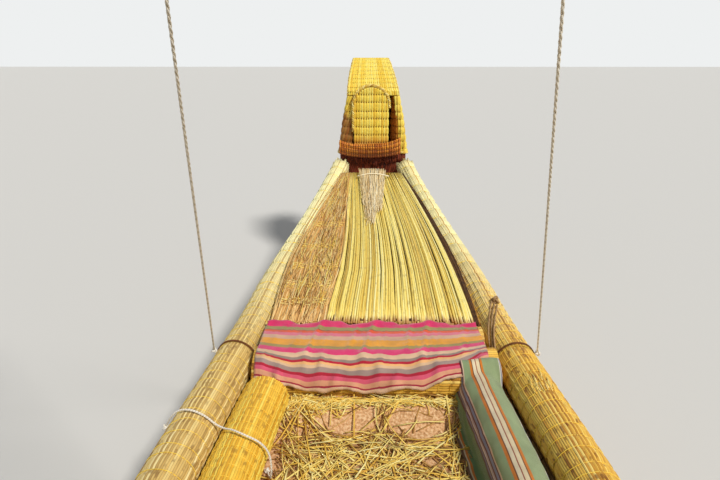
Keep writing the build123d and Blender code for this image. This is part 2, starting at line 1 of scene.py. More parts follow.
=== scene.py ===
# %% [markdown]
# A reed boat, dressed in Blender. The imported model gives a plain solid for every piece, all in one frame:
# metres, +Y to the bow, +X to starboard, +Z up, and the origin amidships on the waterline. Each cell below
# models one piece of the real boat over its solid, or gives it its finish. Nearly all of the boat is reed,
# and reed is thousands of round stalks side by side, so most cells build rows of stalks with numpy. An
# operator that adds one primitive at a time would need hours for them.

# %% Load the frame
import math
from functools import partial

import bpy
import numpy as np
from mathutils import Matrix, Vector
from numpy.random import default_rng


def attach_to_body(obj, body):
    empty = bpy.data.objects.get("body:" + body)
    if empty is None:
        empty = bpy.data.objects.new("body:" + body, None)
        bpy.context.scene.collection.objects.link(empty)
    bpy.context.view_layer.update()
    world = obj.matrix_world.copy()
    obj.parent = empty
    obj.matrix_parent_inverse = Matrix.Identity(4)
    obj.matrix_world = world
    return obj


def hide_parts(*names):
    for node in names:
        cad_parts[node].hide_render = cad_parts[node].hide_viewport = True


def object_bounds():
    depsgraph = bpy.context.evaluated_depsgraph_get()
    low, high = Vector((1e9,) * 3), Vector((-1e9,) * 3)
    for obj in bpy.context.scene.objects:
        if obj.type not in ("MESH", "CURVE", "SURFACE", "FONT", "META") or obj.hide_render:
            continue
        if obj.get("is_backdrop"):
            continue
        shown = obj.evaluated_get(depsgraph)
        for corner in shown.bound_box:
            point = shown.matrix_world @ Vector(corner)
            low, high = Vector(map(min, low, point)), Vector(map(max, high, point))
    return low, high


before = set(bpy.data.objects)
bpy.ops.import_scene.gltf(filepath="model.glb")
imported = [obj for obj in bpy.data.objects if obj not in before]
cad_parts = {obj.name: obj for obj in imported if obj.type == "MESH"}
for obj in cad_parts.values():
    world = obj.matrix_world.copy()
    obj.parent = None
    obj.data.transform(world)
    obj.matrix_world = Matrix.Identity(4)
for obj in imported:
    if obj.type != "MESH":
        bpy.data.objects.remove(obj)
cad_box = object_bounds()
print("CAD box", cad_box)

# %% [markdown]
# The camera stands on the upper deck between the mast's feet, near the top rail, and looks forward and down
# along the boat. Its height, tilt and lens come from the horizon and from pieces whose sizes are known.

# %% Camera
scene = bpy.context.scene
scene.view_settings.view_transform = "Standard"
bpy.ops.object.camera_add(location=(-0.058, -1.2, 2.95),
                          rotation=(math.radians(90 - 18.626), 0, math.radians(0.912)))
camera = bpy.context.object
camera.data.lens = 27
camera.data.sensor_width = 36
camera.data.clip_end = 500
scene.camera = camera

# %% [markdown]
# Colours are written as they look on a screen, as sRGB hex values, and Blender's shaders need them linear.
# One small function adds a node with its settings and links, so a finish reads from top to bottom.

# %% Colour and node helpers
def linear(code):
    """An sRGB hex colour such as 'c8a050' as the linear colour that a shader needs."""
    values = [int(code[i:i + 2], 16) / 255 for i in (0, 2, 4)]
    return tuple(v / 12.92 if v <= 0.04045 else ((v + 0.055) / 1.055) ** 2.4 for v in values) + (1.0,)


def plug(material, made, links):
    """Gives each named or numbered input of a node a value, a socket or another node's first output."""
    for key, value in links.items():
        if isinstance(value, bpy.types.Node):
            value = value.outputs[0]
        if isinstance(value, bpy.types.NodeSocket):
            material.node_tree.links.new(value, made.inputs[key])
        else:
            made.inputs[key].default_value = value


def add_node(material, kind, links=None, stops=None, **settings):
    """Adds a shader node with its settings, its links and, if it is a ramp, its stops."""
    made = material.node_tree.nodes.new("ShaderNode" + kind)
    for key, value in settings.items():
        setattr(made, key, value)
    plug(material, made, links or {})
    if stops:
        elements = made.color_ramp.elements
        while len(elements) < len(stops):
            elements.new(0.5)
        for element, (place, colour) in zip(elements, stops):
            element.position = place
            element.color = linear(colour)
    return made


def new_material(name):
    """A material, and the function that adds a node to it."""
    material = bpy.data.materials.new(name)
    material.use_nodes = True
    return material, partial(add_node, material)


def stretched_noise(node, place, stretch, detail=2.0):
    """Noise whose grain is drawn out or drawn in by its own amount along each axis."""
    place = node("VectorMath", {0: place, 1: stretch}, operation="MULTIPLY")
    return node("TexNoise", {"Vector": place, "Scale": 1.0, "Detail": detail})


def surface(material, colour, roughness, height=None, strength=0.5, distance=0.002, sheen=0.0):
    """Ends a finish: its colour, its roughness and, from a height, its fine relief."""
    links = {"Base Color": colour, "Roughness": roughness, "Sheen Weight": sheen}
    if height is not None:
        bump = {"Height": height, "Strength": strength, "Distance": distance}
        links["Normal"] = add_node(material, "Bump", bump)
    plug(material, material.node_tree.nodes["Principled BSDF"], links)
    return material


# %% [markdown]
# The stage is a pale floor at the waterline and a pale sky of the same tone. A low, wide sun lights the
# boat from starboard and behind, as a large soft lamp would, and the sky fills its shadows. Their strengths
# add up to about one on a surface that faces the lamp, so a colour renders about as it is written.

# %% Stage and light
bpy.ops.mesh.primitive_plane_add(size=400, location=(0, 0, 0))
floor = bpy.context.object
floor.name = "floor"
# Gives a pale ground without shine, on which the boat's shadow reads soft
floor_paint, node = new_material("floor_pale_matt")
floor.data.materials.append(surface(floor_paint, linear("dcdcda"), 1.0))
floor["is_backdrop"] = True

world = bpy.data.worlds.new("pale_sky")
world.use_nodes = True
scene.world = world
node = partial(add_node, world)
rays = node("LightPath")
seen = node("Math", {0: rays.outputs["Is Camera Ray"], 1: rays.outputs["Is Glossy Ray"]}, operation="MAXIMUM")
seen = node("Math", {0: seen, 1: rays.outputs["Is Transmission Ray"]}, operation="MAXIMUM")
sky = node("Background", {"Color": linear("e9ecef"), "Strength": 0.3})
backdrop = node("Background", {"Color": linear("eef0f0"), "Strength": 1.0})
mixed = node("MixShader", {0: seen, 1: sky, 2: backdrop})
plug(world, world.node_tree.nodes["World Output"], {0: mixed})

bpy.ops.object.light_add(type="SUN")
sun = bpy.context.object
sun.data.energy = 2.9
sun.data.angle = math.radians(9)
sun.data.color = (1.0, 0.96, 0.9)
sun.rotation_euler = Vector((0.5, -0.55, 0.8)).to_track_quat("Z", "Y").to_euler()

# %% [markdown]
# A few numpy helpers turn rows of points into meshes. A ring is one closed row of points round a bundle,
# and rings in order make its skin. The UV map counts stalks in U and metres in V, so that a finish can
# tell one stalk from the next and run its streaks along them.

# %% Point helpers
X, Y, Z = np.eye(3)


def unit(vectors):
    return vectors / np.maximum(np.linalg.norm(vectors, axis=-1, keepdims=True), 1e-9)


def stack(*columns):
    """Points from their columns, each an array or one number for all."""
    return np.stack(np.broadcast_arrays(*columns), -1)


def sampled(points, at, places):
    """The points at some places, where at says how far along each given point is."""
    return stack(*(np.interp(places, at, column) for column in np.transpose(points)))


def full_turn(steps):
    return np.linspace(0, 2 * np.pi, steps, endpoint=False)


def run_length(path):
    """Metres from the first point of a path to each of its points."""
    steps = np.linalg.norm(np.diff(path, axis=-2), axis=-1)
    start = np.zeros(steps.shape[:-1] + (1,))
    return np.concatenate([start, np.cumsum(steps, axis=-1)], axis=-1)


def around(centre, r, side, top, turn):
    """Points round a centre, turned from the side direction towards the top direction."""
    return centre + r * (np.cos(turn) * side + np.sin(turn) * top)


def ring(centre, r, side, top, steps):
    return around(centre, r, side, top, full_turn(steps)[:, None])


def circles(path, radii, columns, up=(0, 0, 1)):
    """A ring of points round each point of a path."""
    along = unit(np.gradient(path, axis=0))
    side = unit(np.cross(along, up))
    top = np.cross(side, along)
    radii = np.broadcast_to(radii, len(path))[:, None, None]
    return around(path[:, None], radii, side[:, None], top[:, None], full_turn(columns)[:, None])


# %% [markdown]
# A part of a piece is its points, its faces, their UV map and a finish number for each face. A skin covers a
# bundle, stalks are many thin tubes at once, and one object is made of all the parts of a piece.

# %% Mesh helpers
def skin(rings, stalks=1.0, finish=0, end_finish=None, start=0.0):
    """Faces through rings and over both ends, with stalks counted in U and metres in V."""
    rings = np.asarray(rings)
    rows, columns = rings.shape[:2]
    i, j = np.mgrid[0:rows - 1, 0:columns]
    k = (j + 1) % columns
    quads = stack(i * columns + j, (i + 1) * columns + j, (i + 1) * columns + k, i * columns + k)
    metres = run_length(rings.mean(axis=1))
    u = stack(j, j, j + 1, j + 1) * stalks / columns + start
    v = stack(metres[i], metres[i + 1], metres[i + 1], metres[i])
    faces = quads.reshape(-1, 4).tolist()
    uv = stack(u, v).reshape(-1, 2).tolist()
    first, last = list(range(columns)), list(range((rows - 1) * columns, rows * columns))
    finishes = [finish] * len(faces) + [finish if end_finish is None else end_finish] * 2
    return rings.reshape(-1, 3), faces + [first, last[::-1]], uv + [(0.5, 0.0)] * (2 * columns), finishes


def stalks(paths, radii, sides=4, flat=1.0, finish=0, closed=False, strands=1.0, first=0):
    """Many thin stalks at once. paths is (count, steps, 3) and radii (count, steps) or less."""
    paths = np.asarray(paths)
    count, steps = paths.shape[:2]
    ahead = (np.roll(paths, -1, 1) - np.roll(paths, 1, 1)) if closed else np.gradient(paths, axis=1)
    along = unit(ahead)
    side = unit(np.cross(along, (0.02, 0.03, 1.0)))
    top = np.cross(side, along)
    turn = full_turn(sides)[:, None]
    radii = np.broadcast_to(radii, (count, steps))[:, :, None, None]
    round_it = np.cos(turn) * side[:, :, None] + flat * np.sin(turn) * top[:, :, None]
    rings = paths[:, :, None] + radii * round_it
    n, i, j = np.mgrid[0:count, 0:steps if closed else steps - 1, 0:sides]
    here, ahead, k = (n * steps + i) * sides, (n * steps + (i + 1) % steps) * sides, (j + 1) % sides
    quads = stack(here + j, ahead + j, ahead + k, here + k)
    metres = run_length(paths)
    metres = np.concatenate([metres, metres[:, -1:] + 0.01], axis=1)
    share = stack(j, j, j + 1, j + 1) / sides
    u = first + n[..., None] * strands + (0.3 + 0.4 * share if strands == 1 else share * strands)
    v = stack(metres[n, i], metres[n, i + 1], metres[n, i + 1], metres[n, i])
    faces, uv = quads.reshape(-1, 4).tolist(), stack(u, v).reshape(-1, 2).tolist()
    if not closed:
        corners = np.arange(sides)
        for number in range(count):
            start = number * steps * sides
            faces += [(start + corners).tolist(), (start + (steps - 1) * sides + corners[::-1]).tolist()]
        uv += np.repeat(stack(first + np.arange(count) * strands + 0.5, 0.0), 2 * sides, axis=0).tolist()
    return rings.reshape(-1, 3), faces, uv, [finish] * len(faces)


def twisted_rope(points, radius, pitch, step, finish=0, sides=6):
    """Three strands of a laid rope along points, each turning once in a pitch, in steps of so many metres."""
    points = np.asarray(points, float)
    metres = run_length(points)
    even = np.linspace(0, metres[-1], max(int(metres[-1] / step), 4))
    line = sampled(points, metres, even)
    along = unit(np.gradient(line, axis=0))
    side = unit(np.cross(along, (0.03, 0.05, 1.0)))
    top = np.cross(side, along)
    lay = radius * 0.54
    ropes = []
    for strand in range(3):
        turn = (2 * np.pi * (even / pitch + strand / 3))[:, None]
        ropes.append(around(line, lay, side, top, turn))
    return stalks(ropes, radius - lay, sides=sides, finish=finish)


def mesh_object(name, points, faces, uv=None):
    """A smooth object from lists of points and faces, with a UV map if it is given."""
    mesh = bpy.data.meshes.new(name)
    mesh.from_pydata(points, [], faces)
    if uv is not None:
        mesh.uv_layers.new(name="UVMap").data.foreach_set("uv", np.asarray(uv, np.float32).ravel())
    mesh.polygons.foreach_set("use_smooth", [True] * len(faces))
    made = bpy.data.objects.new(name, mesh)
    scene.collection.objects.link(made)
    return made


def attach(made, stands_for=None, body="boat"):
    """Makes an object ride a body, and hides the solid that it stands for."""
    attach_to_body(made, body)
    if stands_for:
        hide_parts(stands_for)


def joined(objects, name):
    bpy.ops.object.select_all(action="DESELECT")
    for each in objects:
        each.select_set(True)
    bpy.context.view_layer.objects.active = objects[0]
    bpy.ops.object.join()
    objects[0].name = name
    return objects[0]


def piece(name, parts, finishes, stands_for=None, body="boat"):
    """One object from parts of points, faces, UV and finish numbers."""
    points, faces, uv, numbers, count = [], [], [], [], 0
    for part_points, part_faces, part_uv, part_numbers in parts:
        points.append(np.asarray(part_points))
        faces += [[corner + count for corner in face] for face in part_faces]
        uv += part_uv
        numbers += part_numbers
        count += len(part_points)
    made = mesh_object(name, np.concatenate(points).tolist(), faces, uv)
    for finish in finishes:
        made.data.materials.append(finish)
    made.data.polygons.foreach_set("material_index", numbers)
    made.data.update()
    attach(made, stands_for, body)
    print(name, "has", sum(len(face) - 2 for face in faces), "triangles")
    return made


# %% [markdown]
# A bundle's skin is pressed into stalks: every few columns of a ring lie deeper, in the groove between two
# stalks, and each stalk stands a little prouder or lower than its neighbour, in slow waves along the boat.
# A binding pinches the skin where it goes round.

# %% Press a skin into stalks
PROFILES = {3: (-1.0, 0.45, 0.45), 4: (-1.0, 0.3, 0.6, 0.3), 5: (-1.0, 0.1, 0.6, 0.6, 0.1)}


def slow_waves(rng, rows, columns, every):
    """Random values that change smoothly down the rows."""
    knots = rng.normal(size=(rows // every + 3, columns))
    place = np.arange(rows) / every
    low = place.astype(int)
    share = (place - low)[:, None]
    share = share * share * (3 - 2 * share)
    return knots[low] * (1 - share) + knots[low + 1] * share


def pressed(rings, per, depth, seed, uneven=0.0, bands=(), band_depth=0.004, band_width=0.012, every=9):
    """Rings pressed into stalks of so many columns each, pinched where bands cross, at metres along.
    depth and uneven are one value or one a ring."""
    rng = default_rng(seed)
    rows, columns = rings.shape[:2]
    beside = np.roll(rings, -1, 1) - np.roll(rings, 1, 1)
    out = unit(np.cross(np.gradient(rings, axis=0), beside))
    depth, uneven = np.reshape(depth, (-1, 1)), np.reshape(uneven, (-1, 1))
    lift = uneven * (rng.normal(size=columns // per) + 0.7 * slow_waves(rng, rows, columns // per, every))
    offset = np.repeat(lift, per, axis=1) + depth * np.tile(PROFILES[per], columns // per)
    offset[:, ::per] = np.minimum(offset[:, ::per], np.roll(offset, 1, 1)[:, ::per]) - 0.2 * depth
    metres = run_length(rings.mean(axis=1))
    for band, deep in zip(bands, np.broadcast_to(band_depth, len(bands))):
        offset -= deep * np.exp(-((metres - band) / band_width) ** 2)[:, None]
    return rings + offset[..., None] * out


# %% [markdown]
# The hull's lines give every long piece its place. They are the same stations as the solid's, with a smooth
# curve through them where the solid has straight runs, because a reed bundle bends and never kinks.

# %% Hull lines
# y, gunwale roll centre x and z, gunwale roll radius, keel height, in metres
LINES = np.array([(-6.5, 0.215, 1.95, 0.098, 1.48), (-5.9, 0.42, 1.48, 0.112, 0.8),
                  (-5.1, 0.69, 1.08, 0.128, 0.17), (-4.1, 0.95, 0.82, 0.143, -0.27),
                  (-2.6, 1.13, 0.715, 0.155, -0.45), (-0.6, 1.195, 0.695, 0.155, -0.48),
                  (1.4, 1.175, 0.7, 0.155, -0.47), (2.05, 1.115, 0.722, 0.155, -0.45),
                  (2.85, 1.015, 0.8, 0.149, -0.37), (3.5, 0.95, 0.89, 0.14, -0.27),
                  (4.15, 0.845, 1.01, 0.128, -0.1), (4.8, 0.712, 1.158, 0.12, 0.15),
                  (5.4, 0.578, 1.33, 0.116, 0.52), (6.0, 0.43, 1.56, 0.11, 0.98)])


def curve(table, place, column):
    """A smooth line through a table's column, at any place along its first column."""
    at, value = table[:, 0], table[:, column]
    steps, rises = np.diff(at), np.diff(value)
    slope = rises / steps
    tangent = np.concatenate([[slope[0]], (slope[:-1] * steps[1:] + slope[1:] * steps[:-1])
                              / (steps[:-1] + steps[1:]), [slope[-1]]])
    place = np.asarray(place, float)
    i = np.clip(np.searchsorted(at, place) - 1, 0, len(at) - 2)
    t = (place - at[i]) / steps[i]
    return ((2 * t ** 3 - 3 * t ** 2 + 1) * value[i] + (t ** 3 - 2 * t ** 2 + t) * steps[i] * tangent[i]
            + (-2 * t ** 3 + 3 * t ** 2) * value[i + 1] + (t ** 3 - t ** 2) * steps[i] * tangent[i + 1])


def gunwale(y):
    """Centre x, centre z and radius of the gunwale roll."""
    return curve(LINES, y, 1), curve(LINES, y, 2), curve(LINES, y, 3)


def roll_centre(side, y):
    """The centre of a gunwale roll at a y, on either side."""
    x, z, r = gunwale(y)
    return stack(side * x, y, z)


def hull_top(y):
    x, z, r = gunwale(y)
    return z - r - 0.14


def deck_top(y):
    return hull_top(y) + 0.052


def inner_side(y):
    x, z, r = gunwale(y)
    return x - r - 0.002


print("deck at y 1.4 is", round(float(deck_top(1.4)), 3), "m above the waterline")

# %% [markdown]
# Dried lake reed is pale gold, each stalk in its own shade, with slow streaks of brown where it has weathered
# and a few stalks gone brown altogether. Its skin is waxy, so it has a soft gloss, and the grooves between
# stalks hold dust and a painted shade. The finish reads U to tell the stalks apart and V for the streaks, and
# the object's own place along the boat for a paler tone near the bow, painted light on the far rolls.

# %% Reed finish
def reed_finish(name, shades, gloss=0.5, fibre=0.35, streak=1.3, bow=None, dirt=0.25, foot=None, dashes=0.55,
                butt=None):
    """Dried reed, from four tones light to dark and the darker tone in its grooves, painted shade between the
    stalks. bow is a paler tone towards the bow, painted light, and butt that of cut ends. foot is a darker
    tone that fades in downwards, painted shade, with its highest and lowest height and how much port lowers
    it, which paints more shade on the port side."""
    *shades, groove = shades.split()
    material, node = new_material(name)
    place = node("UVMap", uv_map="UVMap")
    here = node("TexCoord").outputs["Object"]
    split = node("SeparateXYZ", {0: place})
    spot = node("SeparateXYZ", {0: here})
    number = node("Math", {0: split}, operation="FLOOR")
    own = node("TexWhiteNoise", {"W": number}, noise_dimensions="1D")
    stalk = node("CombineXYZ", {0: number, 1: split.outputs[1]})
    # Streaks about 0.8 m long on each stalk
    long_streak = stretched_noise(node, stalk, (7.31, streak, 0), detail=3.0)
    # Fibres a few millimetres apart, drawn out along the stalk
    fine = stretched_noise(node, place, (4.5, 12.0, 0))
    # Handfuls of three or four stalks of one age, about 1.2 m long
    handful = stretched_noise(node, place, (0.29, 0.8, 0))
    mixed = node("Math", {0: own, 1: long_streak}, operation="ADD")
    mixed = node("Math", {0: fine, 1: fibre, 2: mixed}, operation="MULTIPLY_ADD")
    mixed = node("Math", {0: handful, 1: 0.4, 2: mixed}, operation="MULTIPLY_ADD")
    mixed = node("MapRange", {0: mixed, 1: 0.8, 2: 2.1})
    colour = node("ValToRGB", {0: mixed}, stops=list(zip((0.0, 0.38, 0.72, 1.0), shades)))
    # What lies over these shades, in order: how much of it covers each spot, and its own shade
    over = []
    # Painted shade: the foot's darker tone fades in towards the bottom, and higher up on the port side
    if foot:
        down = node("Math", {0: spot, 1: foot[3], 2: spot.outputs[2]}, operation="MULTIPLY_ADD")
        over.append((node("MapRange", {0: down, 1: foot[1], 2: foot[2], 4: 0.85}), foot[0]))
    # Dust and damp in patches about 0.4 m wide
    patch = node("TexNoise", {"Vector": here, "Scale": 2.4, "Detail": 4.0})
    over.append((node("MapRange", {0: patch, 1: 0.48, 2: 0.72, 4: dirt}), shades[3]))
    # Dark dashes about 0.06 m long, where a stalk is split or its sheath is left on
    dash = stretched_noise(node, stalk, (3.77, 12.0, 0))
    over.append((node("MapRange", {0: dash, 1: 0.57, 2: 0.66, 4: dashes}), groove))
    # Painted light: a paler tone towards the bow, on the far rolls
    if bow:
        far = node("MapRange", {0: spot.outputs[1], 1: 2.4, 2: 4.2})
        pale = node("MapRange", {0: handful, 1: 0.36, 2: 0.6, 3: 0.78})
        far = node("Math", {0: far, 1: pale}, operation="MULTIPLY")
        # One stalk in eight stays brown among the pale ones
        brown = node("MapRange", {0: own, 1: 0.84, 2: 0.9, 3: 1.0, 4: 0.3})
        over.append((node("Math", {0: far, 1: brown}, operation="MULTIPLY"), bow))
    if butt:
        over.append((node("MapRange", {0: split.outputs[1], 1: 0.09, 2: 0.02, 4: 0.8}), butt))
    # The grooves, at both edges of a stalk, darkened as painted shade between the stalks
    edge = node("Math", {0: split}, operation="FRACT")
    edge = node("Math", {0: edge, 1: 0.5}, operation="SUBTRACT")
    edge = node("Math", {0: edge}, operation="ABSOLUTE")
    over.append((node("MapRange", {0: edge, 1: 0.38, 2: 0.5, 4: 0.75}), groove))
    for share, shade in over:
        colour = node("MixRGB", {0: share, 1: colour, 2: linear(shade)})
    rough = node("MapRange", {0: fine, 1: 0.3, 2: 0.7, 3: gloss - 0.08, 4: gloss + 0.14})
    return surface(material, colour, rough, fine, strength=0.25)


def speckled(name, tones, scale, rough, strength=0.0):
    """A finish whose tones change in grains of about 1 / scale metres, with some relief of its own."""
    material, node = new_material(name)
    here = node("TexCoord").outputs["Object"]
    grain = node("TexNoise", {"Vector": here, "Scale": scale, "Detail": 5.0})
    places = np.linspace(0.32, 0.68, len(tones)).tolist()
    tone = node("ValToRGB", {0: grain}, stops=list(zip(places, tones)))
    return surface(material, tone, rough, grain, strength, distance=0.01)


# %% [markdown]
# Every reed of the boat has one of these finishes. The tones run from light to dark, and the last is that of
# the grooves, painted shade between the stalks. Cords, mats and paints are simpler: a noise or a wave picks
# between a few tones.

# %% Reeds, cords and paints
# Gives the eye warm gold in many thin streaks, with a soft sheen, and pale cream towards the bow, painted
# light on the far rolls
reed_golden = reed_finish("dried_reed_golden", "ffe484 f8cc58 e0a83c aa7224 84490c", bow="fffac0",
                          dirt=0.1, fibre=0.55, dashes=0.75)
# Gives the sandier tone of the port side, which dries in the shade, with the same pale cream towards the bow,
# painted light
reed_sandy = reed_finish("dried_reed_sandy", "fbe8a8 efd388 d8b468 a98648 7f5a28", bow="fffac0",
                         dirt=0.08, fibre=0.7, dashes=0.6)
# Gives a stronger, cleaner yellow than the gunwales, so the bench reads as a younger bundle
reed_bench = reed_finish("dried_reed_yellow", "ffe568 f8cb48 e8b02c bd8828 94651c", dirt=0.08)
# Gives the grey-brown of reed that lives at the waterline
reed_hull = reed_finish("dried_reed_weathered", "e6cc92 cdad70 a5824e 6e5232 4a341e", gloss=0.6)
# Gives long clear lines of greenish yellow with a wax shine, and orange at the cut butts
reed_fresh = reed_finish("fresh_reed_cut", "fff6ae f8e580 e9ca5c bb963e 77602a", gloss=0.42, streak=0.5,
                         dirt=0.05, dashes=0.25, butt="a5682a")
# Gives the dull orange-tan of old thatch, rough and without shine
reed_fine = reed_finish("fine_reed_mat", "ffe6a8 f2c67c d8a456 a26c32 744a24", gloss=0.6, streak=3.0,
                        dirt=0.15)
# Gives bright yellow straw, which on the deck's top layer is partly a painted highlight over the darker floor
straw_gold = reed_finish("loose_straw", "fff4ac ffe680 facf58 d89f40 e4b254", gloss=0.42, streak=2.0,
                         dirt=0.0, dashes=0.3)
# Gives the trodden layer below them, matt and browner, partly painted shade under the top straw
straw_old_and_shade = reed_finish("trodden_straw_and_shade", "efca80 d2a258 a87a3c 765024 5c3c1a", gloss=0.6, streak=2.0,
                        dirt=0.15)
# Gives bone-pale strands that stand out from every other reed
reed_root = reed_finish("peeled_root", "fff8de fbeabe ecd096 c8a068 ac8852", gloss=0.55, streak=3.0,
                        dirt=0.08, dashes=0.2)
# Gives a deep red-brown, partly old reed's own colour and partly painted shade under the head
reed_dark_shade = reed_finish("old_reed_maroon_and_shade", "a8502a 8b3a1c 662612 44170a 2a0f06", gloss=0.65, dirt=0.2)
# Gives the bright yellow of the head, which is renewed more often than the boat, fading to orange towards the
# bottom as painted shade
reed_head = reed_finish("tied_reed_gold", "fff382 fde254 f2ca3a cf9c30 9e6d20", streak=4.0,
                        dirt=0.04, foot=("c06c20", 2.02, 1.84, 0.0), dashes=0.35)
# Gives the same yellow high up, and burnt orange low down and more on the port side, partly dirt and partly
# painted shade
reed_hood = reed_finish("tied_reed_amber", "fff07c fadc50 ecc038 c48f2c 8f5c1c", gloss=0.55,
                        streak=4.0, dirt=0.08, foot=("7e340a", 1.9, 1.77, 1.2), dashes=0.4)
# Gives a rusty band, painted shade under the head, that sinks to a darker painted shade at its lower edge
reed_collar_shade = reed_finish("tied_reed_rust_shade", "f4a838 da8426 bc661c 8c4412 5a280a", gloss=0.6, streak=4.0,
                          dirt=0.15, foot=("74300f", 1.83, 1.7, 0.0))
# Gives a pale twisted line along the edges of the head
reed_rim = reed_finish("twisted_reed_rim", "fff2a4 f8dc70 e4be4c b68630 83531c", streak=5.0)
# Gives thin dark rows that bite into the tied reed
cord_dark = speckled("tarred_reed_cord", ("5a3210", "7e4a1c"), 70.0, 0.8)
# Gives the one smooth dark spot on the face
nose_dark = speckled("nose_pad_hide", ("21130c", "35221a"), 45.0, 0.45)
# Gives fine bright rings round the rolls
string_yellow = speckled("twisted_straw_string", ("f2c93e", "ffe76a"), 55.0, 0.6)
# Gives dull brown rings that hardly show on the hull
string_brown = speckled("old_reed_cord", ("8c6c44", "c4a070"), 55.0, 0.8)
# Gives painted shade: dark brown put under the mats, beside the fresh mat's edge, behind the head's bundles
# and in the ears' cups
shade_brown = speckled("painted_shade_brown", ("3a2410", "64421f"), 30.0, 0.9)
# Gives the pinkish brown of a dusty mat that feet have worn smooth
mat_brown = speckled("trodden_mat_brown", ("ad7e50", "d6a878", "ecca9e"), 60.0, 0.9, 0.4)
# Gives woven red with a fine rib
wool_red, node = new_material("red_wool")
here = node("TexCoord").outputs["Object"]
weave = node("TexWave", {"Vector": here, "Scale": 90.0, "Distortion": 1.5})
tone = node("ValToRGB", {0: weave}, stops=[(0.2, "7c140f"), (0.8, "b5221a")])
surface(wool_red, tone, 0.9, weave, strength=0.4)
# Gives a dark pupil in an amber ring on bone white
EYE_X, EYE_Z, EYE_R = 0.238, 2.7, 0.068
eye_paint, node = new_material("painted_eye")
here = node("TexCoord").outputs["Object"]
split = node("SeparateXYZ", {0: here})
across = node("Math", {0: split}, operation="ABSOLUTE")
across = node("Math", {0: across, 1: EYE_X}, operation="SUBTRACT")
upward = node("Math", {0: split.outputs[2], 1: EYE_Z}, operation="SUBTRACT")
flat = node("CombineXYZ", {0: across, 1: upward})
radius = node("VectorMath", {0: flat}, operation="LENGTH").outputs["Value"]
radius = node("MapRange", {0: radius, 2: EYE_R})
tone = node("ValToRGB", {0: radius}, stops=[(0.0, "140c08"), (0.34, "140c08"), (0.38, "c77a1c"),
                                            (0.62, "d9962c"), (0.66, "efe6cf"), (0.9, "e6dabb")])
surface(eye_paint, tone, 0.4)
# Gives the honeycomb of hollow cut stalks at the end of a bundle, with painted shade in the dark lines
# between them
cut_ends, node = new_material("reed_cut_ends")
here = node("TexCoord").outputs["Object"]
cells = node("TexVoronoi", {"Vector": here, "Scale": 68.0}, feature="DISTANCE_TO_EDGE")
tone = node("ValToRGB", {0: cells},
            stops=[(0.0, "4a3016"), (0.08, "8f6a34"), (0.2, "e3c47c"), (0.5, "c79f58")])
surface(cut_ends, tone, 0.8)

# %% [markdown]
# A white rope ties the boat to a mooring on its port side. It leaves its hitch outside the gunwale roll, goes
# over that roll and the bench roll and hangs down to the straw, where it ends in a knot. Its route is a NURBS
# spline through a few given points, and three laid strands follow the points read back from it. The rope
# shows from end to end, so its length is the route's.

# %% Tie rope
def cord_finish(name, light, dark, pitch):
    """Twisted cord: strands run round it once in a pitch, pale on their crowns and dark between them, a
    painted shade in the lay.
    """
    material, node = new_material(name)
    place = node("UVMap", uv_map="UVMap")
    split = node("SeparateXYZ", {0: place})
    turned = node("Math", {0: split.outputs[1], 1: 1 / pitch, 2: split}, operation="MULTIPLY_ADD")
    strand = node("Math", {0: turned, 1: 0.5}, operation="PINGPONG")
    fibre = node("TexNoise", {"Vector": place, "Scale": 60.0, "Detail": 3.0})
    mixed = node("Math", {0: fibre, 1: 0.35, 2: strand}, operation="MULTIPLY_ADD")
    tone = node("ValToRGB", {0: mixed}, stops=[(0.12, dark), (0.42, light)])
    return surface(material, tone, 0.85, mixed)


# Gives pale strands, washed by rain, with a grey line of painted shade between them, so the rope reads as
# laid
rope_white = cord_finish("washed_white_rope", "f4f0e6", "b5ab98", 0.02)

ROPE = [(-1.33, 1.654, 0.745), (-1.296, 1.646, 0.815), (-1.222, 1.63, 0.878), (-1.138, 1.61, 0.888),
        (-1.058, 1.604, 0.85), (-1.002, 1.6, 0.792), (-0.938, 1.566, 0.786), (-0.872, 1.508, 0.826),
        (-0.786, 1.464, 0.822), (-0.706, 1.468, 0.776), (-0.652, 1.474, 0.7), (-0.636, 1.456, 0.612),
        (-0.64, 1.446, 0.544), (-0.656, 1.472, 0.494), (-0.68, 1.536, 0.486)]
ROPE_R = 0.007
route = bpy.data.curves.new("tie_rope_route", "CURVE")
route.dimensions = "3D"
route.resolution_u = 10
spline = route.splines.new("NURBS")
spline.points.add(len(ROPE) - 1)
for point, place in zip(spline.points, ROPE):
    point.co = (*place, 1)
spline.order_u = 3
spline.use_endpoint_u = True
carrier = bpy.data.objects.new("tie_rope_route", route)
line = bpy.data.meshes.new_from_object(carrier)
rope_line = np.array([corner.co for corner in line.vertices])
bpy.data.objects.remove(carrier)


def rope_knot(centre, size, r, lean, finish=0):
    """A small overhand knot, which is a trefoil of rope, no larger than size across."""
    turn = full_turn(60)
    flat = stack(np.sin(turn) + 2 * np.sin(2 * turn), np.cos(turn) - 2 * np.cos(2 * turn),
                 -1.4 * np.sin(3 * turn)) * (size / 2 - r) / 3
    ahead = unit(np.array(lean, float))
    side = unit(np.cross(ahead, (0.1, 0.2, 1.0)))
    frame_axes = np.stack([side, np.cross(ahead, side), ahead])
    return stalks((flat @ frame_axes + centre)[None], r, sides=8, finish=finish, closed=True, strands=3)


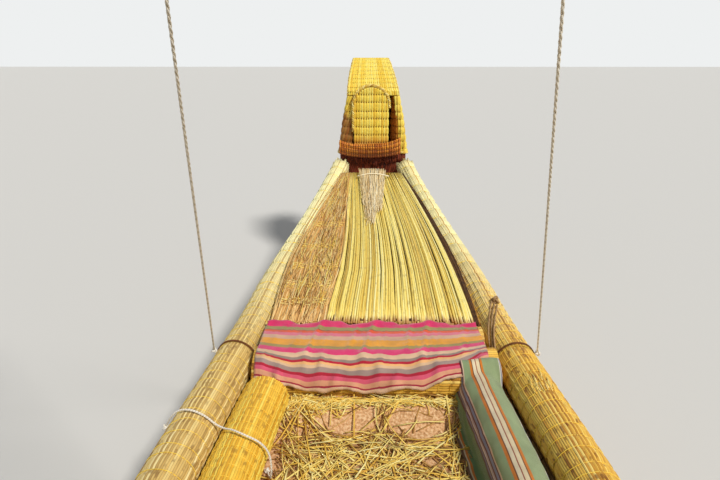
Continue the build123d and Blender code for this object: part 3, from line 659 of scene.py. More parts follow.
first, last = unit(rope_line[1] - rope_line[0]), unit(rope_line[-1] - rope_line[-2])
hitch = rope_knot(rope_line[0] - first * 0.0245, 0.048, ROPE_R, first)
piece("tie_rope_hitch_knot", [hitch], [rope_white], "tie_rope_hitch")
end_knot = rope_knot(rope_line[-1] + last * 0.02, 0.04, 0.0065, last)
end_knot = piece("tie_rope_end_knot", [end_knot], [rope_white], "tie_rope_knot")
rope = piece("tie_rope_laid", [twisted_rope(rope_line, ROPE_R, 0.045, 0.005)], [rope_white],
             "tie_rope")
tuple(ROPE[0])
print("rope route", round(float(run_length(rope_line)[-1]), 3), "m")

# %% [markdown]
# The gunwale rolls are the boat's handrails: one bundle a side of about 65 stalks round, bound every hand's
# breadth with a thin yellow string near the seats and more sparsely towards the ends. The skin has a ring at
# each binding and one a little to each side, so that the string pinches a waist and the reed bulges between.

# %% Gunwale rolls
def bindings(rng, low, high, gap):
    """Places of bindings a gap apart, each a little off its place."""
    places = np.arange(low + gap / 2, high, gap)
    return places + rng.uniform(-0.12, 0.12, len(places)) * gap


def binding_loops(path_at, places, rng, thick, stand=0.003, steps=32):
    """A loop of string round a bundle at each place. path_at gives centre and radius at a place."""
    turn = full_turn(steps)
    loops = []
    for place in places:
        (centre, r), (ahead, _) = path_at(place), path_at(place + 0.01)
        along = unit(ahead - centre)
        side = unit(np.cross(along, Z if abs(along[2]) < 0.95 else Y))
        lean = rng.normal(0, 0.05, 2)
        reach = r + stand
        sway = reach * (lean[0] * np.cos(turn) + lean[1] * np.sin(turn))
        sway += 0.002 * np.sin(5 * turn + place * 40)
        loops.append(ring(centre, reach, side, np.cross(side, along), steps) + sway[:, None] * along)
    return stalks(loops, thick, sides=3, finish=1, closed=True)


TIPS, BROKEN = 90, 44


def waist(y):
    """How deep a binding bites into the gunwale roll."""
    return np.interp(y, (2.6, 3.8), (0.0062, 0.015))


for side, side_name, seed in ((-1, "port", 11), (1, "starboard", 12)):
    rng = default_rng(seed)
    tied_y = np.concatenate([bindings(rng, -6.3, -1.2, 0.34), bindings(rng, -1.2, 3.3, 0.105),
                             bindings(rng, 3.3, 5.9, 0.19)])
    rows_y = np.sort(np.concatenate([[-6.5, 6.0], tied_y - 0.03, tied_y, tied_y[15:] + 0.03]))
    path, r = roll_centre(side, rows_y), gunwale(rows_y)[2]
    metres = np.interp(tied_y, rows_y, run_length(path))
    uneven = np.interp(rows_y, (2.6, 3.8), (0.002, 0.004))
    rings = pressed(circles(path, r, 66 * 3), 3, np.interp(rows_y, (2.6, 3.8), (0.003, 0.005)), seed,
                    uneven, bands=metres, band_depth=waist(tied_y))
    # Stalks of uneven length stand out of the cut end at the bow
    turn = rng.uniform(0, 2 * np.pi, TIPS)[:, None]
    spread = rng.uniform(0.55, 1.02, TIPS)[:, None] * (1, 1.03, 1.08)
    tip_y = stack(5.86, 5.95, 6.0 + rng.uniform(0, 0.05, TIPS))
    x, z, r = gunwale(tip_y.clip(None, 6.0))
    tips = stack(side * x + r * spread * np.cos(turn), tip_y,
                 z + (tip_y - 6.0).clip(0) * 0.4 + r * spread * np.sin(turn))
    parts = [skin(rings, stalks=66, end_finish=2), stalks(tips, 0.005, first=300)]
    if side > 0:
        # One place near the seat has chafed, and broken ends stand up from it
        turn = rng.uniform(0.36, 0.68, BROKEN)[:, None] * np.pi
        y = rng.uniform(1.86, 2.06, BROKEN)[:, None] + np.outer(rng.uniform(0.03, 0.08, BROKEN), (0, 0.5, 1))
        x, z, r = gunwale(y)
        stand = r + np.outer(rng.uniform(0.4, 1, BROKEN), (-0.002, 0.003, 0.009))
        broken = stack(x + stand * np.cos(turn), y, z + stand * np.sin(turn))
        parts.append(stalks(broken, 0.0034, first=400, finish=3))
        # A worn lashing lies over the roll forward of the seat, knotted on top, and its ends go down inboard
        share = np.linspace(0, 1, 16)
        slack = np.array([[-0.036], [0.0], [0.04]])
        y = np.interp(share, (0, 0.7, 1), (3.02, 2.5, 2.42)) + slack
        turn = np.interp(share, (0, 0.7, 1), (0.44, 0.88, 1.02)) * np.pi + 2 * slack
        x, z, r = gunwale(y)
        stand = r + 0.008 + 0.004 * np.sin(share * 9 + slack * 60)
        lashed = stack(x + stand * np.cos(turn), y, z + stand * np.sin(turn))
        parts.append(stalks(lashed, 0.0075, sides=5, first=500, finish=4))
        parts.append(rope_knot(lashed[1, 0] + (0.004, 0.01, 0.012), 0.085, 0.011, (0.3, 1, 0), finish=4))

    def roll_at(y, side=side):
        return roll_centre(side, y), gunwale(y)[2] - waist(y)

    thick = np.where(tied_y > 3.3, 0.0052, 0.0032)[:, None]
    loops = binding_loops(roll_at, tied_y, rng, thick, stand=0.0035, steps=26)
    finishes = [reed_golden if side > 0 else reed_sandy, string_yellow, cut_ends, straw_gold]
    if side > 0:
        finishes.append(string_brown)
    piece(f"gunwale_reeds_{side_name}", parts + [loops], finishes, f"gunwale_roll_{side_name}")

# %% [markdown]
# Each side of the hull is one great bundle, thicker than a barrel, bound with rope every forearm's length.
# A smaller side roll fills the angle between it and the gunwale roll. The ropes pull waists into the hull.
# Only the far ends and the sides show them, so their stalks are drawn as thick as a thumb.

# %% Hull bundles and side rolls
def even_round(points, columns):
    """A closed line through corners, as points evenly apart."""
    points = np.array([*points, points[0]])
    metres = run_length(points)
    return sampled(points, metres, np.linspace(0, metres[-1], columns, endpoint=False))


def rounded_outline(width, height, corner, columns, x=0.0, z=0.0):
    """Points round a rounded rectangle, evenly spaced, from its +X side towards +Z."""
    w, h = width / 2 - corner, height / 2 - corner
    points = [(width / 2, 0)]
    for quarter, (cx, cz) in enumerate(((w, h), (-w, h), (-w, -h), (w, -h))):
        points += [(cx + corner * np.cos(t), cz + corner * np.sin(t))
                   for t in np.linspace(0, np.pi / 2, 13) + quarter * np.pi / 2]
    return even_round(points, columns) + (x, z)


def side_roll(y):
    x, z, r = gunwale(y)
    slope = np.gradient(np.stack([x, z]), y, axis=1)
    reach = np.sqrt(1 + (slope ** 2).sum(axis=0))
    return x + 0.01, z - (1.77 * r + 0.002) * reach, 0.77 * r, reach


def hull_outlines(y, columns, grow=0.0):
    """The outline of one hull bundle at each y, on the starboard side."""
    x, z, r, reach = side_roll(y)
    top, bottom = hull_top(y), curve(LINES, y, 4)
    corner = 0.48 * (top - bottom)
    rise = z - (top - corner)
    width = x + corner - np.sqrt((corner + r * reach + 0.002) ** 2 - rise ** 2)
    outlines = []
    for i, here_y in enumerate(y):
        w, h, c = width[i], top[i] - bottom[i], min(corner[i], 0.48 * width[i])
        flat = rounded_outline(w - 0.006 + 2 * grow, h + 2 * grow, c + grow, columns, w / 2, top[i] - h / 2)
        outlines.append(stack(flat[:, 0], here_y, flat[:, 1]))
    return np.array(outlines)


def on_side(rings, side):
    """Starboard rings, or their port twins, with points in the order that keeps faces outwards."""
    return rings if side > 0 else (rings * (-1, 1, 1))[:, ::-1]


WAISTS = np.arange(-6.15, 5.88, 0.6)
hull_y = np.concatenate([np.arange(-6.51, 5.98, 0.2), [6.0]]).clip(-6.5)
for side, side_name, seed in ((-1, "port", 21), (1, "starboard", 22)):
    rng = default_rng(seed)
    outlines = on_side(hull_outlines(hull_y, 96 * 3), side)
    metres = np.interp(WAISTS, hull_y, run_length(outlines.mean(axis=1)))
    shell = pressed(outlines, 3, 0.004, seed, uneven=0.003, bands=metres, band_depth=0.014, band_width=0.09,
                    every=4)
    ropes = on_side(hull_outlines(WAISTS, 48, grow=-0.009), side)
    piece(f"hull_reeds_{side_name}", [skin(shell, stalks=96, end_finish=2),
                                      stalks(ropes, 0.009, sides=3, finish=1, closed=True, strands=2)],
          [reed_hull, string_brown, cut_ends], f"hull_roll_{side_name}")
    x, z, r, reach = side_roll(hull_y)
    path = stack(side * x, hull_y, z)
    rings = pressed(circles(path, r, 36 * 3), 3, 0.003, seed + 10, uneven=0.002, every=4)

    def side_roll_at(y, side=side):
        x, z, r, reach = side_roll(np.array([y - 0.01, y, y + 0.01]))
        return np.array([side * x[1], y, z[1]]), r[1]

    loops = binding_loops(side_roll_at, bindings(rng, -6.3, 5.9, 0.3), rng, 0.004, steps=20)
    piece(f"side_roll_reeds_{side_name}", [skin(rings, stalks=36, end_finish=2), loops],
          [reed_hull, string_brown, cut_ends], f"side_roll_{side_name}")

# %% [markdown]
# Benches and seat are bundles too, laid on the deck. Their reed is younger and yellower than the gunwale's,
# and their strings go round every few centimetres. The side benches run the length of the open deck, and two
# short rolls across the boat make the seat under the striped cloth.

# %% Benches and seat
BENCH_R = 0.165
SEAT_ROLLS = ((2.335, 0.185), (2.688, 0.164))


def bench_x(y):
    return inner_side(y) - BENCH_R - 0.002


def bound_bundle(path, r, count, gap, seed):
    """A round bundle of reed with its strings, and a ring at each string and to each side of it."""
    rng = default_rng(seed)
    metres = run_length(path)
    ties = bindings(rng, 0.03, metres[-1] - 0.03, gap)
    rows = np.sort(np.concatenate([[0, metres[-1]], ties - 0.02, ties, ties + 0.02]))
    rings = circles(sampled(path, metres, rows), r, count * 3)
    rings = pressed(rings, 3, 0.003, seed, uneven=0.002, bands=ties, band_depth=0.006)

    def path_at(place):
        return sampled(path, metres, place), r

    loops = binding_loops(path_at, ties, rng, 0.0026, stand=-0.0025)
    return [skin(rings, stalks=count, end_finish=2), loops]


bench_y = np.arange(-1.05, 2.1222, 0.036)
# The starboard bundle is slimmer than tall, and stands clear of the gunwale roll by a shaded gap
BENCH_SLIM = 0.83
BENCH_CLEAR = BENCH_R * (1 - BENCH_SLIM)


def bench_path(side, y):
    return stack(side * bench_x(y) - BENCH_CLEAR * (side > 0), y, deck_top(y) + BENCH_R + 0.002)


def slimmed(points):
    """Points round the starboard bench, drawn in towards its middle."""
    middle = bench_x(points[..., 1]) - BENCH_CLEAR
    drawn = points.copy()
    drawn[..., 0] = middle + BENCH_SLIM * (points[..., 0] - middle)
    return drawn


for side, side_name, gap, count in ((-1, "port", 0.075, 66), (1, "starboard", 0.28, 48)):
    parts = bound_bundle(bench_path(side, bench_y), BENCH_R, count, gap, 31 + side)
    if side > 0:
        parts = [(slimmed(points), *rest) for points, *rest in parts]
    piece(f"bench_reeds_{side_name}", parts, [reed_bench, string_yellow, cut_ends],
          f"bench_roll_{side_name}")

seat_parts = []
for (y, r), gap in zip(SEAT_ROLLS, (0.085, 0.3)):
    half = inner_side(y + r) - 0.004
    path = stack(np.linspace(-half, half, 46), y, deck_top(y + r) + r + 0.002)
    seat_parts += bound_bundle(path, r, 50, gap, int(y * 100))
piece("seat_reeds", seat_parts, [reed_golden, string_yellow, cut_ends], "front_seat")

# %% [markdown]
# The deck is trodden straw: flattened stalks lie every way over each other, a few layers deep, on a brown
# mat. Worn patches near the seat show the mat. Every stalk is a real flattened tube, laid by chance from a
# fixed seed, so each run gives the same floor.

# %% Deck and its loose straw
rng = default_rng(5)
deck_y = np.concatenate([np.arange(-5.1, -1.2, 0.15), np.arange(-1.2, 2.36, 0.05), [2.5, 2.7, 2.857]])


def floor_top(y):
    """The deck's top, with the mat and its straw turned up against the foot of the seat."""
    rise = np.clip((np.asarray(y) - 1.91) / 0.23, 0, 1)
    return deck_top(y) + 0.118 * rise * rise * (3 - 2 * rise)


x, z, r, reach = side_roll(deck_y)
half = x - r - 0.008
TOP_COLUMNS = 44
across = np.concatenate([np.linspace(1, -1, TOP_COLUMNS), [-1, -0.33, 0.33, 1]])
mat = stack(half[:, None] * across, deck_y[:, None], floor_top(deck_y)[:, None])
bumps = rng.normal(0, 0.003, (len(deck_y), TOP_COLUMNS))
mat[:, :TOP_COLUMNS, 2] += bumps + slow_waves(rng, len(deck_y), TOP_COLUMNS, 5) * 0.003 - 0.004
mat[:, TOP_COLUMNS:, 2] -= 0.05


def straw(rng, count, low_y, high_y, reach, longest, layers):
    """Flattened stalks on the deck, as paths of four points and their half widths."""
    y = rng.uniform(low_y, high_y, count)
    x = rng.uniform(-1, 1, count) * reach
    heading = rng.normal(0, 0.9, count) + rng.choice([0.0, np.pi / 2], count, p=[0.62, 0.38])
    length = longest * rng.beta(2.0, 2.6, count) + 0.05
    bow = rng.normal(0, 0.06, count) * length
    share = np.linspace(-0.5, 0.5, 4)
    east, north = np.cos(heading)[:, None], np.sin(heading)[:, None]
    run, bend = length[:, None] * share, bow[:, None] * (1 - 4 * share ** 2)
    x, y = x[:, None] + east * run - north * bend, y[:, None] + north * run + east * bend
    lift = (np.sort(rng.uniform(0.001, layers, count)) if layers else np.zeros(count))[:, None]
    tilt = rng.normal(0, 0.012, count)[:, None]
    paths = stack(x, y, floor_top(y) + lift + np.maximum(tilt * share * 2, -lift))
    return paths, rng.uniform(0.0034, 0.0072, count)[:, None]


front, front_r = straw(rng, 3100, -0.2, 2.2, 0.62, 0.55, 0.03)
rear, rear_r = straw(rng, 700, -4.9, -0.2, 0.5, 0.6, 0.02)
keep = np.ones(len(front), bool)
# Worn spots: x, y, radius and the share of the straw that is gone
WORN = ((0.3, 2.0, 0.2, 0.93), (-0.22, 2.05, 0.22, 0.95), (0.36, 1.66, 0.1, 0.7), (-0.1, 1.64, 0.1, 0.6))
for spot_x, spot_y, spot_r, thin in WORN:
    near = np.hypot(front[..., 0] - spot_x, (front[..., 1] - spot_y) * 1.7).min(axis=1) < spot_r
    keep &= ~(near & (rng.random(len(front)) < thin))
front, front_r = front[keep], front_r[keep]
# The lowest straw takes the browner finish, painted shade under the top layers, and the top straw the bright
# one, painted highlight
low = int(0.45 * len(front))
# A drift of straw lies along the foot of the seat, swept there from the deck, most of it to port
DRIFT, PORT_DRIFT, SEAT_FOOT = 420, 170, 2.122
drift, drift_r = straw(rng, DRIFT, 2.02, 2.13, 0.66, 0.42, 0.0)
drift[:PORT_DRIFT, :, 0] = drift[:PORT_DRIFT, :, 0] * 0.35 - 0.44
spread = np.where(np.arange(DRIFT) < PORT_DRIFT, 0.05, 0.016)
y = drift[..., 1]
y = SEAT_FOOT - np.abs(rng.normal(0, 1, DRIFT) * spread)[:, None] + (y - y.mean(axis=1, keepdims=True)) * 0.22
heap = rng.uniform(0.05, 1, DRIFT)[:, None] * np.interp(y, (1.98, 2.08, 2.13), (0.012, 0.022, 0.03))
drift = stack(drift[..., 0], y, floor_top(y) + heap)
parts = [skin(mat, stalks=60)]
for paths, radii, finish, first in ((front[:low], front_r[:low], 2, 0), (front[low:], front_r[low:], 1, 4000),
                                    (rear, rear_r, 2, 8000), (drift, drift_r, 1, 9500)):
    parts.append(stalks(paths, radii, sides=3, flat=0.5, finish=finish, first=first))
piece("deck_straw", parts, [mat_brown, straw_gold, straw_old_and_shade], "deck_mat")

# %% [markdown]
# Two mats lie on the sloping foredeck. The starboard one is a fan of fresh thick reeds, thin ends together at
# the prow and cut butts in an uneven row above the seat. The port one is older and finer, sewn across with
# yellow straw. Straight stalks from one end to the other give both, in two layers over a bed of painted
# shade.

# %% Foredeck mats
MAT_HIGH_Y = 5.7
SEAM = np.array([(2.8, -0.41), (3.5, -0.33), (4.15, -0.305), (MAT_HIGH_Y, -0.305)])
BACK_Y, BACK_R = SEAT_ROLLS[1]
MAT_LOW_Y = BACK_Y + 0.112
MAT_LOW_Z = deck_top(BACK_Y + BACK_R) + BACK_R + 0.083 + math.sqrt(BACK_R ** 2 - 0.112 ** 2)


def mat_top(y):
    return MAT_LOW_Z + (y - MAT_LOW_Y) / (MAT_HIGH_Y - MAT_LOW_Y) * (1.551 - MAT_LOW_Z)


def seam_x(y):
    return np.interp(y, SEAM[:, 0], SEAM[:, 1])


def laid_reeds(rng, shares, sides, low_r, high_r, lift, overhang, wander, steps=13, straight=0.0):
    """Reeds laid down a mat at shares of its width. sides gives the x of both edges at a y, and straight is
    how much the reeds at the far side keep to a straight line."""
    count = len(shares)
    run = np.linspace(0, 1, steps)
    low = MAT_LOW_Y - overhang - rng.uniform(0, 0.035, count)
    y = low[:, None] + run * (MAT_HIGH_Y - low[:, None])
    left, right = sides(np.clip(y, MAT_LOW_Y, MAT_HIGH_Y))
    x = left + (right - left) * shares[:, None]
    x += straight * shares[:, None] * (x[:, :1] + (x[:, -1:] - x[:, :1]) * run - x)
    x += rng.normal(0, wander, count)[:, None] * np.sin(run * np.pi * rng.uniform(0.6, 1.6, count)[:, None])
    z = mat_top(y) - 0.01 + lift[:, None] * (1 - 0.5 * run) + 0.0015 * slow_waves(rng, steps, count, 3).T
    z -= np.maximum(MAT_LOW_Y + 0.01 - y, 0) * 0.6
    return stack(x, y, z), run[::-1] * (low_r - high_r)[:, None] + high_r[:, None]


def slab(x, y, top, low):
    """Rings of a flat bed: points across its top from starboard to port, and its two lower corners."""
    return np.concatenate([stack(x, y, top), stack(x[[-1, 0]], y, low)]).transpose(1, 0, 2)


def mat_bed(sides):
    """A bed under a mat, dark brown as painted shade."""
    y = np.linspace(MAT_LOW_Y, MAT_HIGH_Y, 20)
    left, right = sides(y)
    return slab(np.linspace(right - 0.004, left + 0.004, 12), y, mat_top(y) - 0.028, mat_top(y) - 0.058)


core_y = np.concatenate([[2.86], np.linspace(3.0, MAT_HIGH_Y, 24)])
half = inner_side(core_y) - 0.004
core = slab(np.linspace(half, -half, 150), core_y, mat_top(core_y) - 0.068, hull_top(core_y) + 0.002)
core[:, 1:149:3, 2] -= 0.006
piece("foredeck_core_reeds", [skin(core, stalks=152 / 3)], [reed_fine], "foredeck_core")


def fan(y):
    """The edges of the fresh mat."""
    return seam_x(y) + 0.004, inner_side(y) - np.interp(y, (2.8, 4.2, 5.7), (0.055, 0.036, 0.02))


def fan_rim(y):
    """The strip between the fresh mat and the gunwale roll."""
    return fan(y)[1] - 0.01, inner_side(y) - 0.012


def old(y):
    """The edges of the old mat."""
    return -inner_side(y) + 0.014, seam_x(y) - 0.004


# %% Fresh mat
rng = default_rng(7)
parts = [skin(mat_bed(fan), stalks=12, finish=1)]
for layer, (count, lift) in enumerate(((76, -0.006), (60, 0.004))):
    shares = (np.arange(count) + rng.uniform(0.15, 0.85, count)) / count
    low_r = rng.uniform(0.007, 0.011, count)
    reeds, radii = laid_reeds(rng, shares, fan, low_r, low_r * 0.42, lift + rng.normal(0, 0.003, count),
                              0.006 + 0.02 * layer, 0.006, straight=0.22)
    parts.append(stalks(reeds, radii, sides=6, flat=0.85, first=layer * 200))
# The strip by the gunwale roll holds thin reeds in the painted shade brown
RIM = 26
reeds, radii = laid_reeds(rng, rng.uniform(0, 1, RIM), fan_rim, rng.uniform(0.004, 0.007, RIM),
                          np.full(RIM, 0.003), rng.uniform(-0.03, -0.01, RIM), 0.0, 0.02)
parts.append(stalks(reeds, radii, sides=5, first=500, finish=1))
piece("foredeck_fan", parts, [reed_fresh, shade_brown], "foredeck_mat_starboard")

# %% Old mat
parts = [skin(mat_bed(old), stalks=12, finish=1)]
for layer, (count, lift) in enumerate(((90, -0.003), (90, 0.003))):
    shares = (np.arange(count) + rng.uniform(0, 1, count)) / count
    low_r = rng.uniform(0.0032, 0.006, count)
    reeds, radii = laid_reeds(rng, shares, old, low_r, low_r * 0.5, lift + rng.normal(0, 0.002, count),
                              0.002 + 0.012 * layer, 0.026, steps=10)
    parts.append(stalks(reeds, radii, sides=5, flat=0.8, first=layer * 200))
# Broken bits of the old reed lie loose over the whole ones, most of them near the seam and the seat
BITS = 620
start_y = rng.uniform(MAT_LOW_Y, 5.4, BITS)[:, None]
share = np.linspace(0, 1, 5)
y = start_y + share * rng.uniform(0.12, 0.42, BITS)[:, None]
left, right = old(np.clip(y, MAT_LOW_Y, MAT_HIGH_Y))
across = rng.beta(1.4, 1.1, BITS)[:, None] + rng.normal(0, 0.1, BITS)[:, None] * share
x = left + 0.01 + (right - left - 0.02) * across.clip(0, 1)
lift = rng.uniform(0, 0.012, BITS)[:, None]
bits = stack(x, y, mat_top(y) - 0.002 + lift + 0.004 * np.sin(share * rng.uniform(2, 7, BITS)[:, None]))
for finish, low, high in ((0, 0, 300), (2, 300, 470), (3, 470, BITS)):
    radii = rng.uniform(0.0022, 0.0048, BITS)[low:high, None]
    parts.append(stalks(bits[low:high], radii, sides=3, flat=0.7, finish=finish, first=1200))
stitches = []
for row_y in (2.98, 3.22, 3.5, 3.86, 4.3, 4.8):
    left, right = old(row_y)
    for strand in range(6):
        x = np.linspace(left + 0.02, right - 0.01, 26)
        y = row_y + strand * 0.016 + 0.014 * np.sin(x * 36 + strand * 1.9) + rng.normal(0, 0.003, 26)
        z = mat_top(y) + 0.001 + 0.003 * np.sin(x * 90 + strand)
        stitches.append(stack(x, y, z))
parts.append(stalks(stitches, 0.0032, finish=2, first=900))
piece("foredeck_old_mat", parts, [reed_fine, shade_brown, straw_gold, straw_old_and_shade],
      "foredeck_mat_port")

# %% [markdown]
# The pale tuft at the top of the foredeck is a bunch of peeled reed roots, tied at the stem and combed into
# three locks. Wavy strands in three groups, each group drawn together at its tip, give it.

# %% Root tuft
rng = default_rng(9)
locks = []
for centre, tip, spread, reach, count in ((-0.07, -0.075, 0.06, 0.95, 66), (0.045, 0.04, 0.062, 1.12, 66),
                                          (-0.01, -0.03, 0.075, 1.4, 78)):
    share = np.linspace(0, 1, 12)
    start = rng.normal(0, 1, count)
    run = reach * rng.uniform(0.75, 1.0, count)
    y = 5.69 - share * run[:, None]
    wide = spread * (1 - 0.55 * share ** 0.8)
    x = centre + (tip - centre) * share + np.clip(start, -1.9, 1.9)[:, None] * wide
    x += 0.013 * share * np.sin(share * rng.uniform(6, 16, count)[:, None] + start[:, None] * 9)
    z = mat_top(y) + 0.006 + rng.uniform(0, 1, count)[:, None] * 0.05 * (1 - 0.55 * share)
    locks.append(stack(x, y, z))
locks = np.concatenate(locks)
BAND_Y = 5.5
share = np.linspace(-1, 1, 24)
band = stack(0.2 * share, BAND_Y, mat_top(BAND_Y) + 0.062 * np.cos(1.1 * share) + 0.002)
piece("prow_root_tuft", [stalks(locks, np.linspace(0.0046, 0.0022, 12), flat=0.8),
                         stalks(np.stack([band, band + (0, 0.014, 0)]), 0.006, sides=6, first=400)],
      [reed_root], "prow_tuft")

# %% [markdown]
# The stem carries the figurehead. It is old reed that turns up from the hull, dark maroon partly of its own
# and partly as painted shade under the head, and its cut ends hang below the collar in a short ragged fringe.

# %% Prow stem
STEM = np.array([(0, 6.004, 1.145, 0, 0.69, 0.325), (1, 6.23, 1.3, 45, 0.76, 0.42),
                 (2, 6.305, 1.56, 80, 0.88, 0.49), (3, 6.303, 1.727, 90, 0.9, 0.51)])
place = np.linspace(0, 3, 30)
y, z, climb, width, height = (curve(STEM, place, column) for column in range(1, 6))
rings = []
for i in range(len(place)):
    flat = rounded_outline(width[i] - 0.01, height[i] - 0.01, 0.115, 84 * 3)
    turn = math.radians(climb[i])
    rings.append(stack(flat[:, 0], y[i] - math.sin(turn) * flat[:, 1], z[i] + math.cos(turn) * flat[:, 1]))
rings = pressed(np.array(rings), 3, 0.004, 41, uneven=0.003, every=5)
rng = default_rng(42)
FRINGE, FRINGE_X = 186, 0.42
x = (np.repeat(np.linspace(-FRINGE_X, FRINGE_X, 62), 3) + rng.normal(0, 0.004, FRINGE))[:, None]
drop = 0.115 + 0.035 * rng.random(FRINGE)[:, None] - 0.05 * (x / FRINGE_X) ** 2
drop += 0.05 * (np.abs(x - 0.03) < 0.028)
share = np.linspace(0, 1, 5)
y = 6.052 + 0.02 * (x / FRINGE_X) ** 2 - 0.018 * share + rng.normal(0, 0.006, FRINGE)[:, None]
fringe = stack(x * 1.02, y, 1.742 - drop * share)
piece("prow_stem_reeds", [skin(rings, stalks=84), stalks(fringe, 0.0052, sides=5, first=100)],
      [reed_dark_shade], "prow_stem")

# %% [markdown]
# The figurehead is basketwork: upright bundles of reed as thick as two fingers, side by side, held by rows
# of dark cord that bite into them. Its back is a round-topped panel, the neck, framed by a rope of twisted
# reed. Each bundle is a tube that narrows wherever a row of cord crosses it.

# %% Neck panel
def tied_bundles(paths, r, rows, bite, width, sides=8, first=0):
    """Thick bundles along paths, narrowed where each row of cord crosses, at metres along a path."""
    metres = run_length(paths)
    narrow = 1 - bite * sum(np.exp(-((metres - row) / width) ** 2) for row in rows)
    return stalks(paths, r * narrow, sides=sides, strands=5, first=first)


NECK_X, NECK_HALF, ARCH_Z = -0.026, 0.23, 2.38
NECK_ROWS = np.array([1.79, 1.885, 1.985, 2.09, 2.195, 2.29, 2.405, 2.5])


def neck_edge(half, low):
    """The panel's outline, up its starboard side, over its round top and down to port, as rows of x and z."""
    turn = np.linspace(0, np.pi, 25)
    rise = np.linspace(low, ARCH_Z - 0.02, 20)
    arch = stack(half * np.cos(turn), ARCH_Z + half * np.sin(turn))
    return np.concatenate([stack(half, rise), arch, stack(-half, rise[::-1])]) + (NECK_X, 0)


NECK_LOW = 1.735


def neck_bulge(x):
    """How far the panel bulges towards the stern."""
    return 0.01 * (1 - (x / NECK_HALF) ** 2)


x = np.linspace(-0.211, 0.211, 14)[:, None]
top = ARCH_Z + np.sqrt(NECK_HALF ** 2 - x ** 2) - 0.018
z = NECK_LOW + np.linspace(0, 1, 64) * (top - NECK_LOW)
paths = stack(x + NECK_X, 6.034 - neck_bulge(x), z)
bundles = tied_bundles(paths, 0.0212, NECK_ROWS - NECK_LOW, bite=0.36, width=0.016)
outline = np.concatenate([neck_edge(NECK_HALF - 0.015, NECK_LOW), [(NECK_X, NECK_LOW)]])
# A core in painted shade brown fills the panel behind its bundles
core = np.array([stack(outline[:, 0], y, outline[:, 1]) for y in (6.038, 6.2, 6.44)])
cords = []
for row in NECK_ROWS:
    reach = 0.228 if row < ARCH_Z else math.sqrt(NECK_HALF ** 2 - (row - ARCH_Z) ** 2) - 0.006
    x = np.linspace(-reach, reach, 60)
    y = 6.021 - neck_bulge(x) + 0.004 * np.abs(np.sin(x * np.pi / 0.0325))
    cords.append(stack(x + NECK_X, y, row + 0.003 * np.sin(x * 23)))
# The rope of the rim runs over the arch and dies out in the port wall
rim = neck_edge(NECK_HALF + 0.006, 1.84)[18:58]
rim = stack(rim[:, 0], 6.022, rim[:, 1])
piece("neck_panel", [bundles, skin(core, finish=1), stalks(cords, 0.003, finish=2),
                     twisted_rope(rim, 0.021, 0.085, 0.01, finish=3, sides=5)],
      [reed_head, shade_brown, cord_dark, reed_rim], "prow_neck")

# %% [markdown]
# The hood wraps the neck on three sides, open to the stern, and its starboard wall stands off the neck with a
# dark slot between. Its section is one closed line round the outside and back along the inside, so its rings
# carry upright bundles on both faces of the wall, and its inner faces take the collar's rust as painted
# shade. A collar curves under the panel from one wall of the hood to the other, its rust brown painted shade
# under the panel.

# %% Hood
def filleted(corners, columns):
    """Even points round a closed line with rounded corners, from rows of x, y, corner radius."""
    corners, reach = np.split(np.array(corners, float), [2], axis=1)
    points = []
    for before, here, after, r in zip(np.roll(corners, 1, 0), corners, np.roll(corners, -1, 0), reach):
        a, b = here - unit(here - before) * r, here + unit(after - here) * r
        points += [(1 - t) ** 2 * a + 2 * t * (1 - t) * here + t ** 2 * b for t in np.linspace(0, 1, 9)]
    return even_round(points, columns)


HOOD = np.array([(1.73, 0.93, 6.045, 6.56), (2.12, 0.83, 6.05, 6.64), (2.48, 0.69, 6.06, 6.7)])


def hood_rings(heights, columns, grow=0.0):
    """Sections of the hood's wall, which leave the neck free between a starboard and a port inner face."""
    rings = []
    for z in heights:
        width, back, front = (curve(HOOD, z, column) for column in (1, 2, 3))
        out, wall = width / 2 - 0.004 + grow, 0.077 + 2 * grow
        back, front = back + 0.004 - grow, front - 0.004 + grow
        starboard, port, inner = 0.24 - grow, -0.262 - grow, front - wall
        line = filleted([(out, front, 0.1), (out, back, 0.036), (out - wall, back, 0.036),
                         (starboard, back + 0.13, 0.03), (starboard, inner, 0.02), (port, inner, 0.03),
                         (port, back, 0.02), (-out, back, 0.05), (-out, front, 0.1)], columns)
        rings.append(stack(line[:, 0], line[:, 1], z))
    return np.array(rings)


HOOD_ROWS = np.arange(1.8, 2.47, 0.096)
heights = np.arange(1.733, 2.479, 0.0155)
rings = pressed(hood_rings(heights, 84 * 4), 4, 0.0085, 61, uneven=0.002, bands=HOOD_ROWS - heights[0],
                band_depth=0.011, band_width=0.014)
cords = hood_rings(HOOD_ROWS, 130, grow=-0.007)
collar = hood_rings([1.748], 300, grow=0.004)[0]
shell = skin(rings, stalks=84 * 3)
# The inner faces take the collar's rust finish, painted shade in the slot
wall = curve(HOOD, heights, 1)[:, None] / 2 - 0.079
inside = (np.abs(rings[..., 0]) < wall) & (rings[..., 1] > 6.075) & (rings[..., 1] < 6.5)
shell[3][:inside[:-1].size] = (3 * inside[:-1].ravel()).tolist()
piece("hood_basket", [shell, stalks(cords, 0.0032, finish=1, closed=True),
                      twisted_rope([*collar, collar[0]], 0.016, 0.07, 0.009, finish=2, sides=5)],
      [reed_hood, cord_dark, reed_rim, reed_collar_shade], "head_hood")
share = np.linspace(-1, 1, 26)[:, None]
x = 0.392 * share - 0.042
low, high = 1.69 + 0.05 * share ** 2, 1.875 + 0.07 * np.abs(share) ** 3 + 0.03 * share * (share < 0)
z = low + np.linspace(0, 1, 24) * (high - low)
y = 6.018 - 0.04 * np.sqrt(1 - 0.9 * share ** 2) + 1.2 * (z - 1.8) ** 2
paths = stack(x, y, z)
bundles = tied_bundles(paths, 0.0188, (0.045, 0.105, 0.165), bite=0.34, width=0.014)
cords = np.stack([paths[:, row] - (0, 0.016, 0) for row in (5, 12, 19)])
